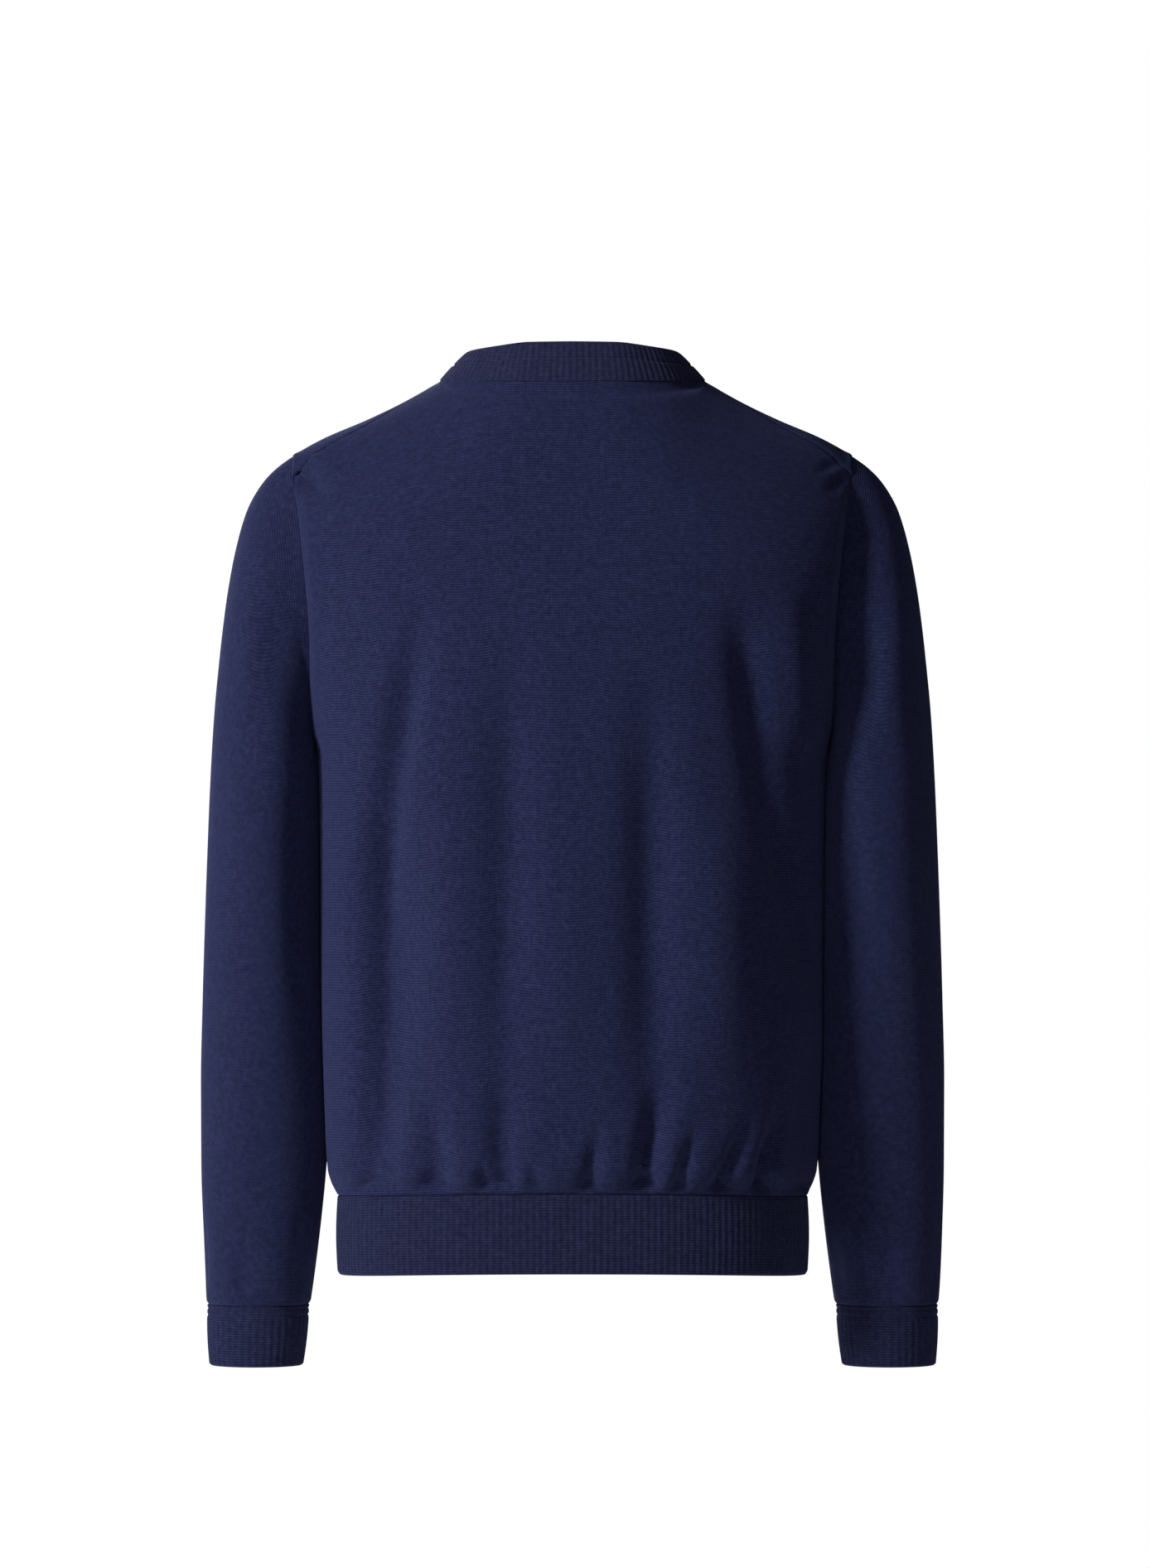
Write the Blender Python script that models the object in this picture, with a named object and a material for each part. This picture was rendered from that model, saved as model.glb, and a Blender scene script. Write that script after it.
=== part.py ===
"""A v-neck sweater in fine plain knit with ribbed neck, hem and cuffs, filled out as if worn.

Metres, +Z up. The wearer faces -Y, so the back panel looks along +Y and the wearer's left is +X.
The origin is between the shoulders: x 0 at the centre back, y 0 in the plane of the side seams,
and z 0 at the high point of the shoulder, where the neckline meets the shoulder seam.
Every piece is a closed wall of cloth, and neighbours stand SEAM_GAP apart where they are sewn.
"""

import math
from collections import namedtuple

import bmesh
import bpy
import numpy as np

CLOTH = 0.0015          # thickness of the plain knit
RIB_CLOTH = 0.0022      # thickness of the ribbing, at the middle of its relief
RIB_RELIEF = 0.0008     # from the groove to the crest of a rib
RIB_PITCH = 0.0049      # from one rib to the next, round the hem
SEAM_GAP = 0.0003
PULL = SEAM_GAP / 2     # each piece stops this far short of its seam

HEM_SEAM_Z = -0.603
HEM_END_Z = -0.662
HEM_LIFT = 0.0065       # the hem and its seam ride up this much at centre back and front
HEM_INSET = 0.0012      # the hem's ribbing lies this far inside the blouse's lowest section
BLOUSE_TOP_Z = -0.540   # the body blouses over the hem from here down
TUCK = 0.009            # height of the tuck from the blouse in to the hem seam
UNDERARM_Z = -0.277
NECK_HALF_WIDTH = 0.098
NAPE_Z = -0.004
V_POINT_Z = -0.228      # where the neckline's two straight edges meet, outside the band
NAPE_SQUARENESS = 4     # exponent of the back neckline's curve
FULLNESS = 2.4          # exponent of the rounded sections, 2 for an ellipse
SIDE_POWER = 8          # exponent that keeps a flare or a fold away from the side seams
DOME = 0.110            # height over which the shoulders round over
RIDGE_Y = 0.006         # the shoulders' ridge lies this far behind the side seams
BACK, FRONT = 1, -1     # the way a panel looks along Y

# The torso's sections. Above the underarm they are the sections that the armholes cut into.
# flare fills out the sides of a section, short of the side seam, towards those wider ones.
Section = namedtuple("Section", "z half_width back front flare")
TORSO = (
    Section(-0.603, 0.1745, 0.109, 0.106, 0.000),
    Section(-0.594, 0.1790, 0.118, 0.113, 0.000),
    Section(-0.585, 0.1815, 0.123, 0.117, 0.000),
    Section(-0.540, 0.1840, 0.126, 0.119, 0.000),
    Section(-0.450, 0.1868, 0.125, 0.118, 0.003),
    Section(-0.350, 0.1876, 0.127, 0.122, 0.018),
    Section(-0.277, 0.1892, 0.129, 0.126, 0.036),
    Section(-0.262, 0.1940, 0.129, 0.126, 0.026),
    Section(-0.235, 0.2005, 0.128, 0.123, 0.000),
    Section(-0.190, 0.2100, 0.125, 0.116, 0.000),
    Section(-0.150, 0.2200, 0.119, 0.106, 0.000),
    Section(-0.110, 0.2260, 0.110, 0.095, 0.000),
    Section(-0.060, 0.2280, 0.098, 0.082, 0.000),
    Section(0.000, 0.2280, 0.084, 0.071, 0.000),
)
LOWER_ROWS = (-0.603, -0.594, -0.585, -0.568, -0.540, -0.500, -0.450, -0.400, -0.350, -0.310)

# The ridge of the shoulders from the neck outwards. The shoulder seam lies behind it, by an angle
# of the round-over that grows towards the armhole.
Ridge = namedtuple("Ridge", "x z seam_turn")
SHOULDER = (
    Ridge(0.000, 0.0500, 0.00),
    Ridge(0.030, 0.0455, 0.00),
    Ridge(0.065, 0.0260, 0.00),
    Ridge(0.098, 0.0000, 0.00),
    Ridge(0.121, -0.0140, 0.12),
    Ridge(0.151, -0.0287, 0.28),
    Ridge(0.186, -0.0438, 0.40),
    Ridge(0.207, -0.0560, 0.54),
    Ridge(0.228, -0.0740, 0.60),
)

# Half-width between the armholes, by height along the cloth. The front's goes over the ridge.
Armhole = namedtuple("Armhole", "rise half_width")
ARMHOLE = {
    BACK: (
        Armhole(-0.277, 0.1892), Armhole(-0.253, 0.1918), Armhole(-0.217, 0.1925),
        Armhole(-0.180, 0.1940), Armhole(-0.154, 0.1960), Armhole(-0.115, 0.2000),
        Armhole(-0.053, 0.2066),
    ),
    FRONT: (
        Armhole(-0.277, 0.1892), Armhole(-0.253, 0.1902), Armhole(-0.217, 0.1885),
        Armhole(-0.180, 0.1880), Armhole(-0.154, 0.1895), Armhole(-0.115, 0.1940),
        Armhole(-0.060, 0.2020), Armhole(0.007, 0.2072), Armhole(0.066, 0.2066),
    ),
}
ARMHOLE_ROWS = 12
EVEN_CLIMB = 0.55       # 1 would space the armhole rows evenly; less sets them closer below
NECK_COLUMNS = 7        # from the centre to the neckline's side, each side
NECK_EVENNESS = 0.25    # 1 would space those evenly; less sets them closer at the side
SHOULDER_COLUMNS = 12   # from there to the armhole
FOLDS_FADE = 0.72       # share of a panel's rows above which its folds fade out,
FOLDS_SPAN = 0.20       # over this further share
FOLD_RAMP = 2.5         # a fold reaches its depth within 1 / FOLD_RAMP of its length,
GATHER_RAMP = 1.6       # and one that runs to the hem seam within 1 / GATHER_RAMP

# Soft folds and gathers of the body, as lines from an upper to a lower end. A negative depth is
# a ridge. Gathers are the short ones that start at the hem seam.
Fold = namedtuple("Fold", "x_top z_top x_low z_low half_width depth")
FOLDS = {
    BACK: (
        Fold(0.110, -0.150, 0.140, -0.360, 0.013, 0.0080),
        Fold(0.142, -0.290, 0.145, -0.600, 0.013, 0.0100),
        Fold(0.044, -0.150, 0.048, -0.600, 0.017, 0.0070),
        Fold(-0.056, -0.185, -0.060, -0.600, 0.018, 0.0100),
        Fold(-0.114, -0.165, -0.164, -0.440, 0.013, 0.0065),
        Fold(0.090, -0.180, 0.096, -0.560, 0.020, -0.0030),
        Fold(-0.108, -0.280, -0.112, -0.550, 0.022, -0.0055),
        Fold(0.006, -0.300, 0.000, -0.560, 0.022, -0.0025),
        Fold(-0.156, -0.140, -0.176, -0.400, 0.014, -0.0055),
        Fold(0.158, -0.565, 0.158, -0.608, 0.006, 0.0030),
        Fold(0.122, -0.570, 0.116, -0.608, 0.012, 0.0050),
        Fold(0.074, -0.570, 0.071, -0.608, 0.006, 0.0020),
        Fold(0.034, -0.560, 0.028, -0.608, 0.006, 0.0030),
        Fold(-0.020, -0.540, -0.010, -0.608, 0.006, 0.0050),
        Fold(-0.070, -0.545, -0.046, -0.608, 0.006, 0.0060),
        Fold(-0.092, -0.540, -0.073, -0.608, 0.005, 0.0055),
        Fold(-0.134, -0.535, -0.100, -0.608, 0.006, 0.0075),
        Fold(-0.152, -0.525, -0.129, -0.608, 0.006, 0.0070),
        Fold(-0.166, -0.550, -0.157, -0.608, 0.006, 0.0045),
    ),
    FRONT: (
        Fold(0.135, -0.200, 0.150, -0.480, 0.016, 0.0050),
        Fold(0.072, -0.230, 0.050, -0.590, 0.019, 0.0045),
        Fold(-0.030, -0.290, -0.040, -0.600, 0.018, 0.0045),
        Fold(-0.118, -0.210, -0.150, -0.520, 0.016, 0.0060),
        Fold(0.100, -0.320, 0.096, -0.560, 0.020, -0.0030),
        Fold(-0.085, -0.300, -0.094, -0.540, 0.022, -0.0030),
        Fold(0.164, -0.550, 0.158, -0.608, 0.006, 0.0045),
        Fold(0.140, -0.560, 0.133, -0.608, 0.006, 0.0050),
        Fold(0.106, -0.545, 0.098, -0.608, 0.008, 0.0060),
        Fold(0.070, -0.560, 0.066, -0.608, 0.007, 0.0040),
        Fold(0.040, -0.550, 0.036, -0.608, 0.007, 0.0060),
        Fold(0.002, -0.562, 0.000, -0.608, 0.008, 0.0045),
        Fold(-0.034, -0.548, -0.034, -0.608, 0.007, 0.0060),
        Fold(-0.070, -0.560, -0.066, -0.608, 0.007, 0.0040),
        Fold(-0.104, -0.545, -0.098, -0.608, 0.008, 0.0060),
        Fold(-0.150, -0.555, -0.145, -0.608, 0.007, 0.0050),
    ),
}

# Rings of the left sleeve, from its outer line to the line under the arm, fanning down from the
# armhole to the cuff. depth is the full depth from back to front, and y its middle.
Ring = namedtuple("Ring", "outer_x outer_z inner_x inner_z depth y")
SLEEVE = (
    Ring(0.2185, -0.0645, 0.1890, -0.2800, 0.128, 0.001),
    Ring(0.2287, -0.0750, 0.1872, -0.2838, 0.129, 0.001),
    Ring(0.2408, -0.0950, 0.1852, -0.2895, 0.131, 0.000),
    Ring(0.2496, -0.124, 0.1836, -0.2985, 0.132, -0.001),
    Ring(0.2566, -0.162, 0.1824, -0.3115, 0.132, -0.001),
    Ring(0.2618, -0.205, 0.1815, -0.3290, 0.131, -0.001),
    Ring(0.2660, -0.250, 0.1810, -0.3510, 0.128, -0.001),
    Ring(0.2688, -0.298, 0.1807, -0.3790, 0.124, -0.001),
    Ring(0.2710, -0.350, 0.1806, -0.4130, 0.118, -0.002),
    Ring(0.2730, -0.405, 0.1798, -0.4510, 0.109, -0.003),
    Ring(0.2748, -0.462, 0.1794, -0.4930, 0.100, -0.005),
    Ring(0.2762, -0.522, 0.1798, -0.5400, 0.091, -0.008),
    Ring(0.2762, -0.580, 0.1832, -0.5880, 0.081, -0.012),
    Ring(0.2752, -0.630, 0.1880, -0.6330, 0.074, -0.016),
    Ring(0.2738, -0.668, 0.1926, -0.6680, 0.069, -0.019),
    Ring(0.2726, -0.686, 0.1952, -0.6860, 0.065, -0.020),
)
CUFF_TOP = Ring(0.2720, -0.686, 0.1962, -0.686, 0.063, -0.020)
CUFF_END = Ring(0.2705, -0.732, 0.2009, -0.732, 0.057, -0.022)
SLEEVE_CLEARANCE = 0.0012   # between a sleeve and the body that it hangs against
CUFF_RIBS = 42
FINE_TURNS = np.linspace(0, 1, 2001)    # a closed curve is measured in steps this fine
SETTLE_RINGS = 8        # rings over which the armhole's own outline fades into the tube

# The two sleeves' soft creases: place round the sleeve in turns from the line under the arm,
# going up the back, then the ring that it is deepest at, its reach in rings and its depth.
Crease = namedtuple("Crease", "turn ring reach half_turn depth")
CREASES = {
    "left": (
        Crease(0.30, 4.0, 2.6, 0.040, 0.0030),
        Crease(0.16, 8.5, 2.2, 0.045, 0.0035),
        Crease(0.78, 8.0, 1.8, 0.050, 0.0040),
        Crease(0.86, 10.0, 1.6, 0.045, 0.0030),
        Crease(0.12, 14.6, 0.8, 0.035, 0.0024),
        Crease(0.29, 14.9, 0.7, 0.030, 0.0022),
        Crease(0.46, 14.5, 0.8, 0.035, 0.0024),
        Crease(0.63, 14.8, 0.7, 0.035, 0.0022),
        Crease(0.83, 14.6, 0.8, 0.035, 0.0026),
    ),
    "right": (
        Crease(0.26, 4.4, 2.4, 0.045, 0.0032),
        Crease(0.18, 9.0, 2.4, 0.045, 0.0032),
        Crease(0.74, 7.6, 2.0, 0.050, 0.0038),
        Crease(0.88, 9.6, 1.5, 0.045, 0.0032),
        Crease(0.08, 14.8, 0.7, 0.035, 0.0024),
        Crease(0.25, 14.5, 0.8, 0.035, 0.0022),
        Crease(0.42, 14.9, 0.7, 0.030, 0.0024),
        Crease(0.67, 14.6, 0.8, 0.035, 0.0024),
        Crease(0.88, 14.7, 0.7, 0.035, 0.0022),
    ),
}

BAND_WIDTH_NAPE = 0.0330
BAND_WIDTH_SIDE = 0.0280    # also down the V
NAPE_REACH = 0.65       # share of the back neckline over which the band narrows to its sides
BAND_STAND = 0.25       # how far the band stands up off the cloth's own slope, at the back
BAND_LIE = 0.45         # share of the V's depth over which the band comes to lie on the chest
BAND_BLEND = 7          # half-ribs each way over which the band's lean is evened out
MITRE_HALF_GAP = 0.00025
FIRST_RIB_X = 0.0020    # the shortest rib at the point of the V starts this far off centre

NAVY_KNIT = (0.0168, 0.0205, 0.0560, 1.0)
NAVY_RIB = (0.0176, 0.0205, 0.0500, 1.0)
KNIT_ROUGHNESS = 0.92
SHARP_ANGLE = math.radians(60)


def monotone(knots, values, x):
    """A smooth curve through the knots that never overshoots them (Fritsch-Carlson slopes)."""
    knots, values = np.asarray(knots), np.asarray(values)
    step = np.diff(knots)
    chord = np.diff(values) / step
    slope = np.zeros(len(knots))
    for i in range(1, len(knots) - 1):
        if chord[i - 1] * chord[i] > 0:
            before, after = 2 * step[i] + step[i - 1], step[i] + 2 * step[i - 1]
            slope[i] = (before + after) / (before / chord[i - 1] + after / chord[i])
    slope[0], slope[-1] = chord[0], chord[-1]
    x = np.clip(x, knots[0], knots[-1])
    i = np.clip(np.searchsorted(knots, x) - 1, 0, len(step) - 1)
    t = (x - knots[i]) / step[i]
    rise = values[i + 1] - values[i]
    bend_in = slope[i] * step[i] - rise
    bend_out = slope[i + 1] * step[i] - rise
    return values[i] + t * rise + t * (1 - t) * ((1 - t) * bend_in - t * bend_out)


def read_table(table, key, column, x):
    return monotone([getattr(row, key) for row in table], [getattr(row, column) for row in table], x)


def unit(vectors):
    return vectors / np.maximum(np.linalg.norm(vectors, axis=-1, keepdims=True), 1e-12)


def ease(t):
    t = np.clip(t, 0, 1)
    return t * t * (3 - 2 * t)


def section_depth(x, z, facing):
    """How far the rounded section at height z stands off the side seams' plane at x."""
    share = np.abs(x) / read_table(TORSO, "z", "half_width", z)
    share = share * (1 - read_table(TORSO, "z", "flare", z) * (1 - np.minimum(share, 1) ** SIDE_POWER))
    back = read_table(TORSO, "z", "back", z)
    front = read_table(TORSO, "z", "front", z)
    inside = np.maximum(1 - share ** FULLNESS, 0)
    return np.where(facing > 0, back, front) * inside ** (1 / FULLNESS)


def torso(x, rise, facing):
    """The worn body's surface. rise is height as measured along the cloth: it is z up to where
    the shoulders start to round over, and then the arc length over the ridge and down behind."""
    spring = read_table(SHOULDER, "x", "z", np.abs(x)) - DOME
    turn = np.maximum(rise - spring, 0) / DOME
    z = np.where(turn > 0, spring + DOME * np.sin(turn), rise)
    reach = np.cos(turn)
    side = facing * np.where(reach < 0, -1, 1)
    y = RIDGE_Y + side * (section_depth(x, z, side) - side * RIDGE_Y) * np.abs(reach)
    y = np.where(turn > 0, y, side * section_depth(x, z, side))
    return np.stack([x, y, z], axis=-1)


def torso_normal(x, rise, facing):
    step = 0.0004
    across = torso(x + step, rise, facing) - torso(x - step, rise, facing)
    along = torso(x, rise + step, facing) - torso(x, rise - step, facing)
    return unit(np.cross(along, across) * facing)


def grid_normals(points, facing, closed=False):
    """Normals of a grid of points, rows by columns. facing is -1 where the rows and columns turn
    the other way about, as seen from outside."""
    if closed:
        wrapped = np.concatenate([points[:, -1:], points, points[:, :1]], axis=1)
        across = (wrapped[:, 2:] - wrapped[:, :-2]) / 2
    else:
        across = np.gradient(points, axis=1)
    return unit(np.cross(np.gradient(points, axis=0), across) * facing)


def seam_pull(points, normals, towards, closed=False):
    """Directions square to a seam in the cloth's own plane, on the side that towards points to.
    At a corner it is lengthened, as a mitre is, so that the gap keeps its width."""
    ends = np.roll(points, -1, axis=0) if closed else points[1:]
    starts = points if closed else points[:-1]
    next_normals = np.roll(normals, -1, axis=0) if closed else normals[1:]
    middle = normals + next_normals if closed else normals[:-1] + next_normals
    square = unit(np.cross(ends - starts, middle))
    hint = towards if closed else towards[:-1]
    square = square * np.where(np.sum(square * hint, axis=1, keepdims=True) < 0, -1, 1)
    if closed:
        before, after = np.roll(square, 1, axis=0), square
    else:
        before, after = np.vstack([square[:1], square]), np.vstack([square, square[-1:]])
    return (before + after) / (1 + np.sum(before * after, axis=1, keepdims=True))


def fold_offsets(points, facing):
    """How far each point of a body panel stands out of the smooth form."""
    x, z = points[..., 0], points[..., 2] - hem_rise(points[..., 1], points[..., 2])
    total = np.zeros(x.shape)
    for fold in FOLDS[facing]:
        t = (fold.z_top - z) / (fold.z_top - fold.z_low)
        centre = fold.x_top + (fold.x_low - fold.x_top) * t
        to_hem = fold.z_low < HEM_SEAM_Z
        end = ease((z - HEM_SEAM_Z) / TUCK) if to_hem else ease((1 - t) * FOLD_RAMP)
        along = ease(t * (GATHER_RAMP if to_hem else FOLD_RAMP)) * end
        total -= fold.depth * along * np.exp(-((x - centre) / fold.half_width) ** 2)
    return total


def column_places():
    """Places of the columns across a panel, -1 to 1: denser by the neckline's side and the
    armhole, where the form turns most."""
    step = np.arange(NECK_COLUMNS + 1) / NECK_COLUMNS
    tip = ARMHOLE[BACK][-1].half_width
    neck = NECK_HALF_WIDTH / tip
    inner = neck * (NECK_EVENNESS * step + (1 - NECK_EVENNESS) * np.sin(step * math.pi / 2))
    start = math.asin(neck) * 2 / math.pi
    outer = start + (1 - start) * np.arange(1, SHOULDER_COLUMNS + 1) / SHOULDER_COLUMNS
    half = np.concatenate([inner, np.sin(outer * math.pi / 2)])
    return np.concatenate([-half[:0:-1], half])


def top_rise(x, facing):
    """Rise of a panel's top edge: neckline between the neck's sides, shoulder seam outside."""
    away = np.abs(x)
    ridge = read_table(SHOULDER, "x", "z", away)
    spring = ridge - DOME
    turn = read_table(SHOULDER, "x", "seam_turn", away)
    shoulder = spring + DOME * (math.pi / 2 - facing * turn)
    share = np.clip(away / NECK_HALF_WIDTH, 0, 1)
    low = NAPE_Z * (1 - share ** NAPE_SQUARENESS) if facing == BACK else V_POINT_Z * (1 - share)
    lift = np.clip((low - spring) / DOME, -1, 1)
    neckline = np.where(low < spring, low, spring + DOME * np.arcsin(lift))
    return np.where(away < NECK_HALF_WIDTH, neckline, shoulder)


def hem_rise(y, z):
    """How far the hem's ride-up lifts a point: nothing at the sides or above the blouse."""
    depth = np.where(y > 0, TORSO[0].back, TORSO[0].front)
    fade = ease((BLOUSE_TOP_Z - z) / (BLOUSE_TOP_Z - HEM_SEAM_Z))
    return HEM_LIFT * (y / depth) ** 2 * fade


def panel_grid(facing):
    """The front or back on the smooth form, from hem seam to top, with its top row's rise."""
    places = column_places()
    rows = []
    for z in LOWER_ROWS:
        x = places * read_table(TORSO, "z", "half_width", z)
        row = torso(x, np.full(x.shape, z), facing)
        row[:, 2] += hem_rise(row[:, 1], row[:, 2])
        rows.append(row)
    tip_x = ARMHOLE[facing][-1].half_width
    top = top_rise(places * tip_x, facing)
    for row in range(ARMHOLE_ROWS + 1):
        w = row / ARMHOLE_ROWS
        climb = EVEN_CLIMB * w + (1 - EVEN_CLIMB) * w * w
        rise = UNDERARM_Z + (top - UNDERARM_Z) * climb
        half_width = read_table(ARMHOLE[facing], "rise", "half_width", rise[-1])
        rows.append(torso(places * half_width, rise, facing))
    return np.array(rows), top


def armhole_loop(grids, sign):
    """The seam line round one armhole: up the back from the underarm, over and down the front."""
    column = -1 if sign > 0 else 0
    back = grids[BACK][len(LOWER_ROWS):, column]
    front = grids[FRONT][len(LOWER_ROWS):, column]
    loop = np.vstack([back, front[-2:0:-1]])
    along = np.roll(loop, -1, axis=0) - np.roll(loop, 1, axis=0)
    normals = unit(np.stack([np.zeros(len(loop)), -along[:, 2], along[:, 1]], axis=-1))
    middle = loop.mean(axis=0)
    outward = np.sum(normals * (loop - middle), axis=1, keepdims=True)
    normals = normals * np.where(outward < 0, -1, 1)
    towards = np.tile([float(sign), 0.0, 0.0], (len(loop), 1))
    return loop, normals, seam_pull(loop, normals, towards, closed=True)


def neck_edge(grid, top, facing):
    """The neckline along one panel's top: its points, normals, pulls and place in the row."""
    x = grid[-1, :, 0]
    neck = np.abs(np.arange(len(x)) - len(x) // 2) <= NECK_COLUMNS
    points = grid[-1, neck]
    normals = torso_normal(x[neck], top[neck], facing)
    up = points - grid[-2, neck]
    return points, normals, seam_pull(points, normals, up), neck


def body_panel(name, facing, grids, tops, armholes):
    """One body panel as a wall: folds, then the edges drawn back from the seams."""
    smooth = grids[facing]
    under = len(LOWER_ROWS)
    rows, columns = smooth.shape[:2]
    row_share = np.arange(rows) / (rows - 1)
    place = np.linspace(-1, 1, columns)
    keep = (1 - ease((row_share - FOLDS_FADE) / FOLDS_SPAN))[:, None] * (1 - place ** SIDE_POWER)[None]
    normals = grid_normals(smooth, facing)
    points = smooth + normals * (fold_offsets(smooth, facing) * keep)[..., None]
    normals = grid_normals(points, facing)

    normals[0, :, 2] = 0
    normals[:under, 0] = (-1, 0, 0)
    normals[:under, -1] = (1, 0, 0)
    points[:under + 1, [0, -1], 1] += facing * PULL

    neck_points, neck_normals, neck_pull, neck = neck_edge(smooth, tops[facing], facing)
    top_normals = torso_normal(smooth[-1, :, 0], tops[facing], facing)
    top_normals[neck] = neck_normals
    inner = np.flatnonzero(neck)
    for part in (slice(0, inner[0] + 1), slice(inner[-1], columns)):
        up = smooth[-1, part] - smooth[-2, part]
        points[-1, part] -= PULL * seam_pull(smooth[-1, part], top_normals[part], up)
    points[-1, neck] -= PULL * neck_pull
    normals[-1] = top_normals
    for sign, column in ((1, -1), (-1, 0)):
        _, loop_normals, loop_pull = armholes[sign]
        count = ARMHOLE_ROWS + 1
        around = np.arange(count) if facing == BACK else -np.arange(count)
        points[under:, column] -= PULL * loop_pull[around]
        normals[under:, column] = loop_normals[around]
    normals = unit(normals)
    inside = points - CLOTH * normals
    for skin in (points, inside):
        skin[0, :, 2] = HEM_SEAM_Z + hem_rise(skin[0, :, 1], HEM_SEAM_Z) + PULL
    return wall(name, points, inside, False, NAVY_KNIT)


def ring_frame(outer, inner, depth, y):
    """A ring's centre, its long half-axis and its half-depth."""
    outer, inner = np.array([outer[0], y, outer[1]]), np.array([inner[0], y, inner[1]])
    return (outer + inner) / 2, (outer - inner) / 2, np.array([0.0, depth / 2, 0.0])


def body_side(y, z):
    """The body's half-width at y and z, below the underarm: section_depth turned about."""
    depth = np.where(y > 0, read_table(TORSO, "z", "back", z), read_table(TORSO, "z", "front", z))
    full = np.maximum(1 - np.abs(y / depth) ** FULLNESS, 0) ** (1 / FULLNESS)
    share = full / (1 - read_table(TORSO, "z", "flare", z) * (1 - full ** SIDE_POWER))
    return share * read_table(TORSO, "z", "half_width", z)


def sleeve_grid(loop, side):
    """Rings of a left sleeve from the armhole's loop down to the cuff seam. Each is an ellipse,
    and the loop's difference from its own ellipse fades out over the first rings."""
    ridge = loop[np.argmax(loop[:, 2])]
    depth = loop[:, 1].max() - loop[:, 1].min()
    middle = (loop[:, 1].max() + loop[:, 1].min()) / 2
    centre, long_half, deep = ring_frame((ridge[0], ridge[2]), (loop[0, 0], loop[0, 2]), depth, middle)
    reach = (loop - centre) @ long_half / (long_half @ long_half)
    angle = np.unwrap(np.arctan2((loop[:, 1] - middle) / (depth / 2), reach))
    angle = angle + (math.pi - angle[0])
    even = math.pi - 2 * math.pi * np.arange(len(loop)) / len(loop)
    if abs(angle[len(loop) // 2] - even[len(loop) // 2]) > math.pi / 2:
        raise ValueError("the armhole's loop runs the wrong way")
    first = centre + np.outer(np.cos(angle), long_half) + np.outer(np.sin(angle), deep)
    turn = np.arange(len(loop)) / len(loop)
    rings = [loop]
    for number, row in enumerate(SLEEVE, 1):
        fade = ease(1 - number / SETTLE_RINGS)
        theta = even + (angle - even) * fade
        centre, long_half, deep = ring_frame(
            (row.outer_x, row.outer_z), (row.inner_x, row.inner_z), row.depth, row.y)
        ring = centre + np.outer(np.cos(theta), long_half) + np.outer(np.sin(theta), deep)
        ring = ring + (loop - first) * fade ** 2
        outward = unit(ring - centre)
        for crease in CREASES[side]:
            off = (turn - crease.turn + 0.5) % 1 - 0.5
            share = np.exp(-(off / crease.half_turn) ** 2)
            near = math.exp(-((number - crease.ring) / crease.reach) ** 2)
            ring = ring - outward * (crease.depth * near * share)[:, None]
        body = body_side(ring[:, 1], ring[:, 2]) + SLEEVE_CLEARANCE
        hangs = ring[:, 2] < UNDERARM_Z
        ring[:, 0] = np.where(hangs, np.maximum(ring[:, 0], body), ring[:, 0])
        rings.append(ring)
    return np.array(rings)


def sleeve(side, sign, armholes):
    """A sleeve as a wall. It is worked out as a left one, and turned over for the right."""
    loop, loop_normals, loop_pull = armholes[1]
    rings = sleeve_grid(loop, side)
    normals = grid_normals(rings, -1, closed=True)
    normals[0] = loop_normals
    normals[-1, :, 2] = 0
    rings[0] += PULL * loop_pull
    rings[-1, :, 2] = CUFF_TOP.outer_z + PULL
    normals = unit(normals)
    inside = rings - CLOTH * normals
    inside[-1, :, 2] = rings[-1, :, 2]
    flip = np.array([float(sign), 1.0, 1.0])
    return wall(f"sleeve_{side}", rings * flip, inside * flip, True, NAVY_KNIT)


def lengths_along(points):
    return np.concatenate([[0], np.cumsum(np.linalg.norm(np.diff(points, axis=0), axis=1))])


def even_places(curve, count):
    """Parameters that cut a closed curve, given as a function of turns, into equal lengths."""
    length = lengths_along(curve(FINE_TURNS))
    return np.interp(np.arange(count) / count * length[-1], length, FINE_TURNS)


def ribbed_tube(name, top_curve, end_curve, top_height, end_height, ribs):
    """A straight band of ribbing: two outer points to a rib over one plain inner point."""
    places = even_places(top_curve, 2 * ribs)
    outer, inner = [], []
    for curve, height in ((end_curve, end_height), (top_curve, top_height)):
        plan = curve(places)
        along = np.roll(plan, -1, axis=0) - np.roll(plan, 1, axis=0)
        normal = unit(np.stack([along[:, 1], -along[:, 0]], axis=-1))
        relief = RIB_RELIEF / 2 * np.where(np.arange(2 * ribs) % 2, 1, -1)[:, None]
        rings = [plan + normal * relief, (plan - normal * RIB_CLOTH)[::2]]
        for skin, ring in zip((outer, inner), rings):
            z = height(ring) + np.zeros(len(ring))
            skin.append(np.column_stack([ring, z]))
    return wall(name, np.array(outer), np.array(inner), True, NAVY_RIB)


def hem_rib():
    """The hem band: the torso's lowest section, drawn in a little and carried straight down."""
    seam = TORSO[0]

    def outline(turns):
        cos, sin = np.cos(2 * math.pi * turns), np.sin(2 * math.pi * turns)
        power = 2 / FULLNESS
        depth = np.where(sin > 0, seam.back, seam.front) - HEM_INSET
        return np.column_stack([
            (seam.half_width - HEM_INSET) * np.sign(cos) * np.abs(cos) ** power,
            depth * np.sign(sin) * np.abs(sin) ** power])

    def top_height(plan):
        return HEM_SEAM_Z + hem_rise(plan[:, 1], HEM_SEAM_Z) - PULL

    def end_height(plan):
        return HEM_END_Z + hem_rise(plan[:, 1], HEM_END_Z)

    ribs = round(lengths_along(outline(FINE_TURNS))[-1] / RIB_PITCH)
    return ribbed_tube("hem_rib", outline, outline, top_height, end_height, ribs)


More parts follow.
